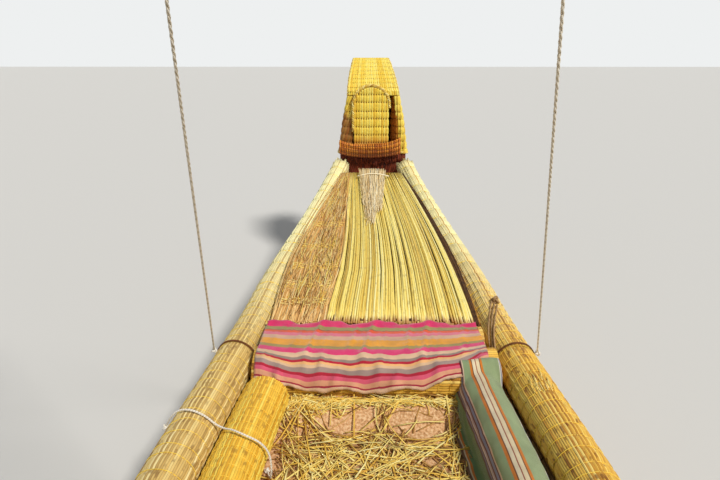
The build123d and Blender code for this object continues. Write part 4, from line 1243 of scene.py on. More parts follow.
piece("neck_collar", [bundles, stalks(cords, 0.0032, finish=1)], [reed_collar_shade, cord_dark])

# %% [markdown]
# The skull's bundles run up the back, forward over the crown and down the face. Its cheeks are upright
# bundles, and ropes of twisted reed cover the edges where both meet.

# %% Skull
SKULL_LOW, OVER = 2.487, 23
PROFILE = np.array([(6.065, 2.487), (6.067, 2.552), (6.125, 2.61), (6.7, 2.926), (6.77, 2.956), (6.85, 2.92),
                    (6.888, 2.872), (6.893, 2.8), (6.893, 2.487)])


def crown_width(z):
    share = (z - 2.48) / 0.47
    return 0.69 - 0.178 * share + 0.03 * np.sin(np.pi * share.clip(0, 1))


def crown_lean(z):
    """How far the head leans to port at a height."""
    return -0.032 * (z - 2.48) / 0.47


def crown_points(share_or_side, inset, deep):
    """The crown's line at a share of its width less an inset, sunk so deep below its profile."""
    y, z = (line + deep * inward).T
    x = crown_lean(line[:, 1]) + share_or_side * (crown_width(line[:, 1]) - inset)
    return stack(x, y, z)


metres = run_length(PROFILE)
even = np.linspace(0, metres[-1], 104)
line = sampled(PROFILE, metres, even)
ahead = unit(np.gradient(line, axis=0))
inward = stack(ahead[:, 1], -ahead[:, 0])
paths = np.array([crown_points((i + 0.5) / OVER - 0.5, 0.03, 0.018) for i in range(OVER)])
CROWN_ROWS = np.arange(0.115, metres[-1], 0.102)
over = tied_bundles(paths, 0.0205, CROWN_ROWS, bite=0.38, width=0.017, sides=6)
cords = []
for row in CROWN_ROWS:
    at, deep = sampled(line, even, row), sampled(inward, even, row)
    half = crown_width(at[1]) / 2 - 0.016
    x = np.linspace(-half, half, 60)
    sink = 0.004 + 0.004 * np.abs(np.sin((x / (2 * half) + 0.5) * OVER * np.pi + np.pi / 2))
    cords.append(stack(x + crown_lean(at[1]), at[0] + deep[0] * sink, at[1] + deep[1] * sink))
cheeks = []
for side in (-1, 1):
    y = np.linspace(6.095, 6.868, 19)[:, None]
    top = np.interp(y, PROFILE[:7, 0], PROFILE[:7, 1]) - 0.02
    z = SKULL_LOW + np.linspace(0, 1, 28) * (top - SKULL_LOW)
    cheeks.append(stack(crown_lean(z) + side * (crown_width(z) / 2 - 0.021), y, z))
cheeks = tied_bundles(np.concatenate(cheeks), 0.0235, np.arange(0.05, 0.45, 0.096), bite=0.38, width=0.016,
                      sides=6, first=200)
rims = [twisted_rope(crown_points(side / 2, 0.02, 0.014), 0.013, 0.075, 0.012, finish=3, sides=4)
        for side in (-1, 1)]
# A core in painted shade brown fills the skull behind its bundles
core = []
for z in np.linspace(SKULL_LOW, 2.9, 12):
    back = np.interp(z, PROFILE[:5, 1], PROFILE[:5, 0]) + 0.03
    half = crown_width(z) / 2 - 0.03
    section = filleted([(half, 6.865, 0.02), (half, back, 0.02),
                        (-half, back, 0.02), (-half, 6.865, 0.02)], 40)
    core.append(stack(section[:, 0] + crown_lean(z), section[:, 1], z))
piece("skull_basket", [over, cheeks, skin(core, finish=1), stalks(cords, 0.0032, finish=2), *rims],
      [reed_head, shade_brown, cord_dark, reed_rim], "head_skull")

# %% [markdown]
# Snout and jaw are short bundles that leave the face forwards, with a dark nose pad, curved teeth of peeled
# root, and a tongue cut from red wool.

# %% Snout, jaw, teeth and tongue
SNOUT = np.array([(0, 0.33, 2.52, 2.8), (0.36, 0.31, 2.52, 2.74), (0.478, 0.22, 2.55, 2.7)])
JAW = np.array([(0, 0.33, 1.86, 2.02), (0.38, 0.3, 1.9, 2.04), (0.5, 0.2, 1.94, 2.04)])
NOSE = np.array([(0.452, 0.1, 2.66, 2.706), (0.462, 0.15, 2.645, 2.712), (0.474, 0.14, 2.65, 2.708),
                 (0.478, 0.09, 2.662, 2.7)])
BROW_Y, JAW_ROOT = 6.902, 6.6235


def muzzle(table, root, corner, columns, rows):
    forward = np.linspace(table[0, 0], table[-1, 0], rows)
    rings = []
    for step in forward:
        width, low, high = sampled(table[:, 1:], table[:, 0], step)
        deep = high - low
        corner_r = min(corner, 0.45 * deep)
        flat = rounded_outline(width - 0.006, deep - 0.006, corner_r, columns, 0, low + deep / 2)
        rings.append(stack(flat[:, 0], root + step, flat[:, 1]))
    return np.array(rings)


rng = default_rng(71)
for name, table, root, corner, count, cad in (("snout_basket", SNOUT, BROW_Y, 0.1, 30, "head_snout"),
                                              ("jaw_basket", JAW, JAW_ROOT, 0.07, 26, "head_jaw")):
    rings = muzzle(table, root, corner, count * 5, 32)
    ties = np.arange(0.04, table[-1, 0] - 0.03, 0.072)
    rings = pressed(rings, 5, 0.006, 72, uneven=0.002, bands=ties, band_depth=0.006)
    loops = muzzle(sampled(table, table[:, 0], ties), root, corner, 60, len(ties))
    parts = [skin(rings, stalks=count * 4, end_finish=2),
             stalks(loops * (0.985, 1, 1), 0.0034, sides=5, finish=1, closed=True)]
    if name == "snout_basket":
        parts.append(skin(muzzle(NOSE, BROW_Y, 0.03, 40, 10), finish=3))
    piece(name, parts, [reed_head, cord_dark, cut_ends, nose_dark], cad)

UPPER_TEETH = ((0.41, 0.05), (0.33, 0.11), (0.19, 0.13), (0.08, 0.135))
LOWER_TEETH = ((0.44, 0.06), (0.35, 0.115), (0.24, 0.125), (0.12, 0.13))
teeth = []
share = np.linspace(-0.12, 1, 10)
for rows, root, table, column, up in ((UPPER_TEETH, BROW_Y, SNOUT, 2, -1),
                                      (LOWER_TEETH, JAW_ROOT, JAW, 3, 1)):
    for forward, x in rows:
        z = np.interp(forward, table[:, 0], table[:, column]) + up * 0.086 * share
        for side in (-1, 1):
            teeth.append(stack(side * (x - 0.006 * share ** 2), root + forward - 0.022 * share ** 2, z))
taper = 0.021 * np.array([1, 1, 0.97, 0.92, 0.84, 0.74, 0.61, 0.45, 0.28, 0.1])
piece("root_teeth", [stalks(teeth, taper, sides=12)], [reed_root], "head_teeth")

forward = np.linspace(0.02, 0.39, 22)[:, None]
share = (forward - 0.02) / 0.37
half = (0.095 - 0.03 * share) * np.sqrt(np.clip(1.03 - share ** 6, 0, 1))
turn = full_turn(40)
furrow = 0.008 * np.exp(-(np.cos(turn) / 0.16) ** 2) * (np.sin(turn) > 0)
z = 2.064 + 0.014 * share + 0.019 * (1 - 0.4 * share) * np.sin(turn) - furrow
tongue = stack(half * np.cos(turn), JAW_ROOT + forward, z)
piece("wool_tongue", [skin(tongue, stalks=10)], [wool_red], "head_tongue")

# %% [markdown]
# Eyes and ears sit on the face under the brow. An eye is a shallow dome with rings painted round a dark
# middle, made from a sphere primitive that is flattened and set in place. An ear is one reed coiled from
# its middle outwards into a cup.

# %% Eyes and ears
eyes = []
for side in (-1, 1):
    bpy.ops.object.select_all(action="DESELECT")
    bpy.ops.mesh.primitive_uv_sphere_add(segments=48, ring_count=24, radius=EYE_R, location=(0, 0, 0))
    bpy.ops.object.mode_set(mode="EDIT")
    bpy.ops.mesh.select_all(action="SELECT")
    bpy.ops.transform.rotate(value=math.radians(90), orient_axis="X", center_override=(0, 0, 0))
    bpy.ops.transform.resize(value=(1, 0.56, 1), center_override=(0, 0, 0))
    bpy.ops.mesh.bisect(plane_co=(0, 0, 0), plane_no=(0, -1, 0), clear_outer=True, use_fill=True)
    bpy.ops.mesh.select_all(action="SELECT")
    bpy.ops.transform.translate(value=(side * EYE_X, BROW_Y + 0.001, EYE_Z))
    bpy.ops.object.mode_set(mode="OBJECT")
    bpy.ops.object.shade_smooth_by_angle(angle=math.radians(40))
    eyes.append(bpy.context.object)
    eyes[-1].data.materials.append(eye_paint)
attach(joined(eyes, "painted_eyes"), "head_eyes")

EAR_X, EAR_Z, EAR_R = 0.195, 2.862, 0.0685
coils, dishes = [], []
for side in (-1, 1):
    turn = np.linspace(0.2, 5.1 * np.pi, 150)
    r = np.minimum(0.006 + 0.0122 * turn / np.pi, EAR_R)
    cup = 0.012 + 0.026 * (r / EAR_R) ** 2
    coils.append(stack(side * EAR_X + r * np.cos(turn), BROW_Y + cup, EAR_Z + r * np.sin(turn)))
    # A cup in painted shade brown lies behind each coil
    dish = [ring((side * EAR_X, BROW_Y + y, EAR_Z), r, X, Z, 32)
            for r, y in ((0.02, 0.001), (0.062, 0.001), (0.066, 0.024), (0.02, 0.01))]
    dishes.append(skin(dish, stalks=8, finish=1))
piece("coiled_ears", [stalks(coils, 0.0112, sides=8, strands=4), *dishes], [reed_head, shade_brown],
      "head_ears")

# %% [markdown]
# At the stern the two gunwale rolls meet a tail, one bundle that curls up and narrows to a bound tip.

# %% Stern tail
TAIL = np.array([(0, -6.504, 1.6, 180, 0.125), (1, -6.7, 1.74, 130, 0.165), (2, -6.88, 2.08, 105, 0.13),
                 (3, -6.95, 2.45, 95, 0.095), (4, -6.96, 2.7, 90, 0.06)])
place = np.linspace(0, 4, 60)
y, z, climb, r = (curve(TAIL, place, column) for column in range(1, 5))
rings = []
for i in range(len(place)):
    lean = math.radians(climb[i])
    top = np.cross(X, (0, math.cos(lean), math.sin(lean)))
    rings.append(ring((0, y[i], z[i]), r[i] - 0.001, X, top, 40 * 3))
rings = np.array(rings)
metres = run_length(rings.mean(axis=1))
ties = np.arange(0.06, metres[-1], 0.11)
loops = sampled(rings.reshape(len(rings), -1), metres, ties).reshape(len(ties), -1, 3)[:, ::3]
rings = pressed(rings, 3, 0.003, 81, uneven=0.002, bands=ties)
piece("tail_reeds", [skin(rings, stalks=40, end_finish=2), stalks(loops, 0.004, finish=1, closed=True)],
      [reed_golden, string_yellow, cut_ends], "stern_tail")

# %% [markdown]
# Poles carry the upper deck, the rails and the mast. They are thin eucalyptus trunks with the bark off: never
# quite straight or round, with knots where branches were. The finish runs its grain along each pole, and a
# sawn end shows the rings.

# %% Pole and cord helpers
def wood_finish(name, shades, gloss):
    """Bare round wood, with grain and long cracks along it. U goes once round a pole and V is in metres."""
    material, node = new_material(name)
    split = node("SeparateXYZ", {0: node("UVMap", uv_map="UVMap")})
    turn = node("Math", {0: split, 1: 2 * math.pi}, operation="MULTIPLY")
    east = node("Math", {0: turn}, operation="COSINE")
    north = node("Math", {0: turn}, operation="SINE")
    number = node("Math", {0: split}, operation="FLOOR")
    own = node("Math", {0: number, 1: 7.3, 2: split.outputs[1]}, operation="MULTIPLY_ADD")
    spot = node("CombineXYZ", {0: east, 1: north, 2: own})
    grain = stretched_noise(node, spot, (7.0, 7.0, 2.2), detail=5.0)
    blotch = stretched_noise(node, spot, (0.8, 0.8, 2.0))
    mixed = node("Math", {0: blotch, 1: 0.8, 2: grain}, operation="MULTIPLY_ADD")
    tone = node("ValToRGB", {0: mixed}, stops=list(zip((0.62, 0.82, 1.0, 1.15), shades)))
    return surface(material, tone, gloss, grain, distance=0.003)


# Gives pale, satin trunks with brown streaks, as young wood has once its bark is off
pole_bare = wood_finish("barked_eucalyptus_pole", ("6d4b2b", "98724a", "bd9765", "d2b184"), 0.6)
# Gives the same wood after years of sun, browner and duller
pole_dark = wood_finish("weathered_mast_pole", ("5a3f28", "7d5f40", "a18259", "b89a70"), 0.7)
# Gives the matt, lighter face of a saw cut
sawn_end, node = new_material("sawn_pole_end")
here = node("TexCoord").outputs["Object"]
wood_rings = node("TexNoise", {"Vector": here, "Scale": 90.0})
tone = node("ValToRGB", {0: wood_rings}, stops=[(0.4, "9a7445"), (0.6, "d6b47e")])
surface(sawn_end, tone, 0.85)
# Gives tan turns of cord that stand out from the poles
cord_lashing = cord_finish("reed_lashing_cord", "d9bd84", "7d5c34", 0.03)
# Gives pale, thin lines with a faint twist
cord_stay = cord_finish("twisted_grass_stay", "efe8d8", "cabfa8", 0.06)


def natural_pole(start, end, r, rng, taper=0.0, number=0):
    """A round pole that bows a little between two points, with a few branch knots."""
    start, end = np.array(start, float), np.array(end, float)
    length = np.linalg.norm(end - start)
    share = np.linspace(0, 1, max(int(length / 0.08), 4))
    side = unit(np.cross(end - start, (0.3, 0.2, 1.0)))
    path = start + share[:, None] * (end - start) + 0.0012 * length * np.sin(np.pi * share)[:, None] * side
    radii = r * (1 - taper * share) * (0.985 + 0.015 * slow_waves(rng, len(share), 1, 4)[:, 0].clip(-1, 1))
    for knot in rng.uniform(0.1, 0.9, int(length / 0.7) + 1):
        radii += 0.05 * r * np.exp(-((share - knot) * length / 0.05) ** 2)
    rings = circles(path, np.minimum(radii, r * 1.03), 12, up=(0.02, 0.03, 1.0))
    return skin(rings, end_finish=1, start=number)


def pole_piece(name, stands_for, seed, rows, finish=pole_bare, body="boat"):
    """Poles from rows of start, end, radius and, if it thins, its taper."""
    rng = default_rng(seed)
    poles = [natural_pole(*row[:3], rng, *row[3:], number=number) for number, row in enumerate(rows)]
    return piece(name, poles, [finish, sawn_end], stands_for, body)


def lashing(first, first_axis, first_r, second, second_axis, second_r, ways=(1, -1), turns=4, thick=0.0045):
    """Turns of cord that cross where two poles touch. A pole has its centre there, an axis and a radius."""
    first, second = np.array(first, float), np.array(second, float)
    out = unit(second - first)
    low, high = first - out * (first_r + thick), second + out * (second_r + thick)
    middle, half = (low + high) / 2, np.linalg.norm(high - low) / 2
    a, b = unit(first_axis), unit(second_axis)
    turn = full_turn(14)
    # Each turn is a rounded square, so that the cord lies flat on the poles and bends at their edges
    cosine, sine = (np.sign(v) * np.abs(v) ** 0.75 for v in (np.cos(turn)[:, None], np.sin(turn)[:, None]))
    wide = 1.25 * max(min(first_r, second_r), 0.02) + 2 * thick
    loops = []
    for way in ways:
        across = unit(a + way * b)
        across = unit(across - out * (across @ out))
        shift = np.cross(out, across)
        reach = wide / max(abs(np.cross(across, a) @ out), 0.55)
        for place in (np.arange(turns) - (turns - 1) / 2) * 2.1 * thick:
            loops.append(middle + shift * place + half * sine * out + reach * cosine * across)
    return stalks(loops, thick, sides=3, closed=True, strands=2)


# %% [markdown]
# The upper deck stands on six posts that carry on up as rail posts. Cross beams are lashed behind the posts,
# side beams lie on them, and planks lie on the side beams.

# %% Upper deck
POST_X, POST_R, POSTS_Y, POST_TOP = 0.78, 0.04, (-1.45, -2.7, -3.95), 2.92
CROSS_Z, CROSS_R, CROSS_BACK = 1.916, 0.04, 0.082
SIDE_Z, SIDE_R, SIDE_X = 2.003, 0.045, 0.693
RAIL_X, RAIL_R, RAILS_Z, RAIL_OUT = 0.85, 0.028, (2.45, 2.85), 0.07
PLANKS_FORE, PLANKS_AFT, FLOOR_Z = -1.4, -4.014, 2.08
STANCHION = (-0.12, POSTS_Y[2])
BOTH_POSTS, BOTH_SIDES = (-POST_X, POST_X), (-SIDE_X, SIDE_X)
FRONT_RAIL_Y, AFT_RAIL_Y = POSTS_Y[0] - RAIL_OUT, POSTS_Y[2] - RAIL_OUT

pole_piece("upper_deck_posts", "deck_posts", 101, [((x, y, deck_top(y) + 0.012), (x, y, POST_TOP), POST_R)
                                                   for y in POSTS_Y for x in BOTH_POSTS])
pole_piece("upper_deck_cross_beams", "deck_cross_beams", 102, [
    ((-0.93, y - CROSS_BACK, CROSS_Z), (0.93, y - CROSS_BACK, CROSS_Z), CROSS_R) for y in POSTS_Y])
pole_piece("upper_deck_side_beams", "deck_side_beams", 103, [
    ((x, PLANKS_AFT, SIDE_Z), (x, PLANKS_FORE, SIDE_Z), SIDE_R) for x in BOTH_SIDES])
for side_name, x in (("port", -RAIL_X), ("starboard", RAIL_X)):
    pole_piece(f"side_rails_{side_name}", f"rail_{side_name}", 104,
               [((x, -3.98, z), (x, -1.42, z), RAIL_R) for z in RAILS_Z])
pole_piece("front_rails", "rail_front", 105, [
    ((-0.82, FRONT_RAIL_Y, z), (0.82, FRONT_RAIL_Y, z), RAIL_R) for z in RAILS_Z])
pole_piece("aft_rails", "rail_aft", 106, [
    ((-0.16, AFT_RAIL_Y, z), (0.82, AFT_RAIL_Y, z), RAIL_R) for z in RAILS_Z])
pole_piece("ladder_stanchion", "rail_stanchion", 107, [
    ((*STANCHION, FLOOR_Z + 0.002), (*STANCHION, POST_TOP), POST_R)])

joints = []
for y in POSTS_Y:
    back = y - CROSS_BACK
    for x in BOTH_POSTS:
        joints.append(lashing((x, y, CROSS_Z), Z, POST_R, (x, back, CROSS_Z), X, CROSS_R))
        rail_x = math.copysign(RAIL_X, x)
        joints += [lashing((x, y, z), Z, POST_R, (rail_x, y, z), Y, RAIL_R) for z in RAILS_Z]
    joints += [lashing((x, back, CROSS_Z), X, CROSS_R, (x, back, SIDE_Z), Y, SIDE_R) for x in BOTH_SIDES]
for z in RAILS_Z:
    for post_y, rail_y, posts in ((POSTS_Y[0], FRONT_RAIL_Y, BOTH_POSTS),
                                  (POSTS_Y[2], AFT_RAIL_Y, (STANCHION[0], POST_X))):
        joints += [lashing((x, post_y, z), Z, POST_R, (x, rail_y, z), X, RAIL_R) for x in posts]
piece("upper_deck_lashings", joints, [cord_lashing])

# %% [markdown]
# The planks are sawn boards, each a cube primitive drawn out to size with its edges eased by a bevel. Their
# grain runs across the boat.

# %% Planks
PLANK_STEP, PLANK_WIDE = 0.202, 0.19
# Gives grey-tan boards with dark grain across the boat, each in its own shade
plank_wood, node = new_material("rough_sawn_plank")
here = node("TexCoord").outputs["Object"]
grain = stretched_noise(node, here, (2.0, 34.0, 34.0), detail=5.0)
board = node("SeparateXYZ", {0: here}).outputs[1]
board = node("Math", {0: board, 1: 1 / PLANK_STEP, 2: 19.87}, operation="MULTIPLY_ADD")
board = node("Math", {0: board}, operation="FLOOR")
board = node("TexWhiteNoise", {"W": board}, noise_dimensions="1D")
mixed = node("Math", {0: board, 1: 0.35, 2: grain}, operation="MULTIPLY_ADD")
tone = node("ValToRGB", {0: mixed},
            stops=[(0.35, "6b4d2e"), (0.55, "93714a"), (0.75, "b48f60"), (0.95, "c9a97b")])
surface(plank_wood, tone, 0.8, grain, strength=0.4, distance=0.003)

rng = default_rng(111)
boards = []
for number in range(13):
    y = PLANKS_FORE - PLANK_WIDE / 2 - number * PLANK_STEP
    bpy.ops.mesh.primitive_cube_add(size=1)
    boards.append(bpy.context.object)
    bpy.ops.object.mode_set(mode="EDIT")
    bpy.ops.transform.resize(value=(1.472 - rng.uniform(0, 0.03), PLANK_WIDE - rng.uniform(0, 0.012), 0.03))
    bpy.ops.transform.translate(value=(rng.uniform(-0.006, 0.006), y, FLOOR_Z - 0.015))
    bpy.ops.object.mode_set(mode="OBJECT")
planks = joined(boards, "upper_deck_boards")
bevel = planks.modifiers.new("eased_edges", "BEVEL")
bevel.width = 0.004
bevel.segments = 2
bpy.ops.object.modifier_apply(modifier=bevel.name)
planks.data.materials.append(plank_wood)
attach(planks, "upper_deck_planks")

for side, side_name in ((-1, "port"), (1, "starboard")):
    y = np.arange(-3.98, -1.49, 0.0553)
    path = stack(side * 0.588, y, deck_top(y) + 0.152)
    piece(f"cabin_bench_reeds_{side_name}", bound_bundle(path, 0.15, 36, 0.16, 120 + side),
          [reed_golden, string_yellow, cut_ends], f"cabin_bench_{side_name}")

# %% [markdown]
# The mast is two long poles that lean together and cross near their tops, with rungs between them. Each foot
# stands on a coil of rope on its gunwale roll and is tied down round it. Twisted grass stays run from the
# crossing to knots on the gunwale rolls.

# %% Mast and stays
MAST_Y, MAST_R, CROSSING = -1.27, 0.055, (-0.19, 6.48)
RUNGS_Z, RUNG_R = (3.25, 3.8, 4.35, 4.9, 5.45), 0.024
x, z, r = gunwale(MAST_Y)
FOOT_Z = z + r + 0.022
legs, ties = {}, []
for side_name, side in (("port", -1), ("starboard", 1)):
    y = MAST_Y + side * 0.056
    foot, crossing = np.array([side * x, y, FOOT_Z]), np.array([CROSSING[0], y, CROSSING[1]])
    along = unit(crossing - foot)
    legs[side] = (foot, along)
    pole_piece(f"mast_leg_{side_name}_pole", f"mast_leg_{side_name}", 130 + side,
               [(foot, crossing + along * 0.26, MAST_R, 0.12)], pole_dark)
    # The foot stands on a flat coil, has turns of cord round it, and is tied down round the roll
    for reach in (0.028, 0.046, 0.064):
        coil = ring(foot - (0, 0, 0.009), reach, X, Y, 28)
        ties.append(stalks([coil], 0.009, sides=5, closed=True, strands=2))
    turns = [ring(foot + along * height, MAST_R + 0.004, X, np.cross(along, X), 28)
             for height in (0.03, 0.04, 0.05, 0.06, 0.07)]
    ties.append(stalks(turns, 0.005, closed=True, strands=2))
    over = np.linspace(-0.2 * np.pi, 1.2 * np.pi, 26)
    for lean in (-0.07, -0.055, 0.055, 0.07):
        tie_y = y + lean * 1.6 - lean * 0.9 * np.sin(over).clip(0, 1) ** 4
        tie = stack(side * x + (r + 0.004) * np.cos(over), tie_y, z + (r + 0.004) * np.sin(over))
        ties.append(stalks([tie], 0.006, strands=2))
rungs = []
for rung_z in RUNGS_Z:
    ends = []
    for foot, along in legs.values():
        at_leg = foot + along * (rung_z - FOOT_Z) / along[2]
        ends.append(at_leg + Y * 0.087)
        ties.append(lashing(at_leg, along, MAST_R * 0.95, ends[-1], X, RUNG_R))
    past = unit(ends[1] - ends[0]) * 0.11
    rungs.append((ends[0] - past, ends[1] + past, RUNG_R))
pole_piece("mast_rung_poles", "mast_rungs", 133, rungs)
(port, port_way), (starboard, starboard_way) = [
    (foot + along * (CROSSING[1] - FOOT_Z) / along[2], along) for foot, along in legs.values()]
ties.append(lashing(port, port_way, MAST_R, starboard, starboard_way, MAST_R, (-1,), 14, 0.007))
piece("mast_lashings", ties, [cord_lashing])


knots = []
for stay_name, y, lead in (("forestay", 2.45, 1), ("backstay", -5.9, -1)):
    r = gunwale(y)[2]
    for side_name, side in (("port", -1), ("starboard", 1)):
        centre = roll_centre(side, y)
        run = roll_centre(side, y + 0.01) - roll_centre(side, y - 0.01)
        out = (r + 0.026) * math.hypot(1, math.hypot(run[0], run[2]) / 0.02) + 0.002
        lift = math.radians(20)
        knot = centre + out * np.array([side * math.cos(lift), 0, math.sin(lift)])
        head = np.array([CROSSING[0] + side * 0.01, MAST_Y + lead * 0.13, CROSSING[1]])
        along = unit(head - knot)
        stay = twisted_rope([knot + along * 0.02, head], 0.008, 0.1, 0.02, sides=4)
        piece(f"{stay_name}_rope_{side_name}", [stay], [cord_stay], f"{stay_name}_{side_name}")
        knots.append(rope_knot(knot, 0.052, 0.008, along))
        ahead = unit(roll_centre(side, y + 0.01) - centre)
        beside = unit(np.cross(ahead, Z))
        for shift in (-0.006, 0.004):
            turn = ring(centre + ahead * shift, r + 0.006, beside, np.cross(beside, ahead), 36)
            knots.append(stalks([turn], 0.0042, sides=5, closed=True, strands=3, finish=1))
piece("stay_foot_knots", knots, [rope_white, cord_dark], "stay_knots")

# %% [markdown]
# A pole ladder leads from the aft deck to the upper deck, and the steering oar turns in a rope ring on a
# crutch post at the stern. The oar's three pieces ride on the turning body.

# %% Ladder and steering oar
LADDER_X, STEPS = (-0.58, -0.22), 6
ladder_foot, ladder_head = np.array([0, -4.75, deck_top(-4.75) + 0.062]), np.array([0, -4.15, 2.5])
pole_piece("ladder_side_poles", "ladder_poles", 141,
           [(ladder_foot + x * X, ladder_head + x * X, 0.03) for x in LADDER_X])
rungs, ties = [], []
climb = unit(ladder_head - ladder_foot)
for number in range(STEPS):
    spot = ladder_foot + (number + 0.6) / STEPS * (ladder_head - ladder_foot)
    rungs.append((spot - 0.549 * X, spot - 0.251 * X, 0.02))
    for x in LADDER_X:
        for lift in (-0.027, -0.019, 0.019, 0.027):
            ties.append(ring(spot + x * X + climb * lift, 0.0335, X, np.cross(climb, X), 16))
pole_piece("ladder_rung_poles", "ladder_rungs", 142, rungs)
piece("ladder_lashings", [stalks(ties, 0.004, closed=True, strands=2)], [cord_lashing])

OAR_R, BLADE = 0.036, 0.9
OAR_HEAD, OAR_TIP = np.array([0.62, -4.65, 1.8]), np.array([1.5, -6.75, -0.35])
oar = unit(OAR_TIP - OAR_HEAD)
blade_start = OAR_TIP - oar * BLADE
across = unit(np.cross(oar, Z))
upright = unit(np.cross(across, oar))
inboard = -across if across[0] > 0 else across
pole_piece("oar_shaft_pole", "oar_shaft", 151, [(OAR_HEAD, blade_start, OAR_R)], pole_dark, "steering_oar")
tiller = OAR_HEAD + oar * 0.06 + inboard * 0.0365
pole_piece("oar_tiller_pole", "oar_tiller", 152, [(tiller, tiller + inboard * 0.56, 0.022)], pole_dark,
           "steering_oar")
blade = []
for d in np.linspace(0, BLADE, 24):
    width = np.interp(d, (0, 0.12, 0.315, 0.84, BLADE), (0.108, 0.16, 0.298, 0.272, 0.215))
    thick = np.interp(d, (0, 0.3, BLADE), (0.036, 0.03, 0.02))
    flat = rounded_outline(width, thick, 0.45 * thick, 40)
    blade.append(blade_start + oar * d + flat[:, :1] * upright + flat[:, 1:] * np.cross(oar, upright))
piece("oar_blade_board", [skin(blade, end_finish=1)], [pole_dark, sawn_end], "oar_blade",
      "steering_oar")

CRUTCH_Y, BEAM_R, CRUTCH_R = -5.0, 0.038, 0.036
ring_at = OAR_HEAD + (OAR_TIP - OAR_HEAD) * (CRUTCH_Y - OAR_HEAD[1]) / (OAR_TIP[1] - OAR_HEAD[1])
x, z, r = gunwale(CRUTCH_Y)
beam_z = z + r * 1.03 + 0.045
beam_end = np.array([x + 0.13, CRUTCH_Y, beam_z])
pole_piece("oar_beam_pole", "oar_beam", 153, [(beam_end * (-1, 1, 1), beam_end, BEAM_R)])
loops = [ring(ring_at + oar * shift, 0.0525, across, upright, 30)
         for shift in (-0.034, -0.017, 0, 0.017, 0.034)]
post_foot = np.array([ring_at[0], CRUTCH_Y, beam_z])
piece("oar_crutch_and_ring", [natural_pole(post_foot + 0.04 * Z, ring_at - 0.068 * Z, CRUTCH_R, rng),
                              stalks(loops, 0.0095, sides=6, finish=2, closed=True, strands=3)],
      [pole_bare, sawn_end, cord_lashing], "oar_crutch")
ties = [lashing((side_x, CRUTCH_Y, z), Y, r, (side_x, CRUTCH_Y, beam_z), X, BEAM_R, turns=3, thick=0.006)
        for side_x in (-x, x)]
ties.append(lashing(post_foot, X, BEAM_R, post_foot + 0.06 * Z, Z, CRUTCH_R, turns=3, thick=0.005))
piece("oar_beam_lashings", ties, [cord_lashing])

# %% [markdown]
# Two woven blankets cover the seat and the starboard bench. Each starts as a flat grid laid over its rolls
# with a little slack, and Blender's Cloth lets it settle on a plain copy of the rolls, so it folds where it
# has length to spare. Their stripes are woven in, and follow the metres of cloth in the UV map.

# %% Blanket finish and drape
def blanket_finish(name, stripes, length):
    """Woven wool in stripes, each a colour and how many millimetres of the cloth's length it runs."""
    material, node = new_material(name)
    place = node("UVMap", uv_map="UVMap")
    split = node("SeparateXYZ", {0: place})
    fuzz = node("TexNoise", {"Vector": place, "Scale": 260.0})
    across = node("Math", {0: fuzz, 1: 0.004, 2: split.outputs[1]}, operation="MULTIPLY_ADD")
    across = node("Math", {0: across, 1: 1 / length}, operation="MULTIPLY")
    words = stripes.split()
    colour, edge = linear(words[0]), int(words[1]) / 1000
    for shade, wide in zip(words[2::2], words[3::2]):
        share = edge / length
        past = node("MapRange", {0: across, 1: share - 0.002, 2: share + 0.002})
        colour = node("MixRGB", {0: past, 1: colour, 2: linear(shade)})
        edge += int(wide) / 1000
    weft = node("TexWave", {"Vector": place, "Scale": 70.0, "Distortion": 0.6}, bands_direction="Y")
    worn = node("TexNoise", {"Vector": place, "Scale": 9.0, "Detail": 5.0})
    worn = node("MapRange", {0: worn, 1: 0.3, 2: 0.7, 3: 0.82, 4: 1.08})
    ribs = node("MapRange", {0: weft, 3: 0.86})
    both = node("Math", {0: worn, 1: ribs}, operation="MULTIPLY")
    colour = node("VectorMath", {0: colour, 1: both}, operation="MULTIPLY")
    return surface(material, colour, 0.95, weft, sheen=0.3)


def sheet_mesh(name, points, spans):
    """A grid of points as a sheet, with metres of cloth in its UV map. points is (along, across, 3)."""
    rows, columns = points.shape[:2]
    i, j = np.mgrid[0:rows - 1, 0:columns - 1]
    faces = stack(i * columns + j, (i + 1) * columns + j, (i + 1) * columns + j + 1, i * columns + j + 1)
    place = stack(np.linspace(0, spans[0], rows)[:, None], np.linspace(0, spans[1], columns)).reshape(-1, 2)
    return mesh_object(name, points.reshape(-1, 3).tolist(), faces.reshape(-1, 4).tolist(),
                       place[faces.reshape(-1)])


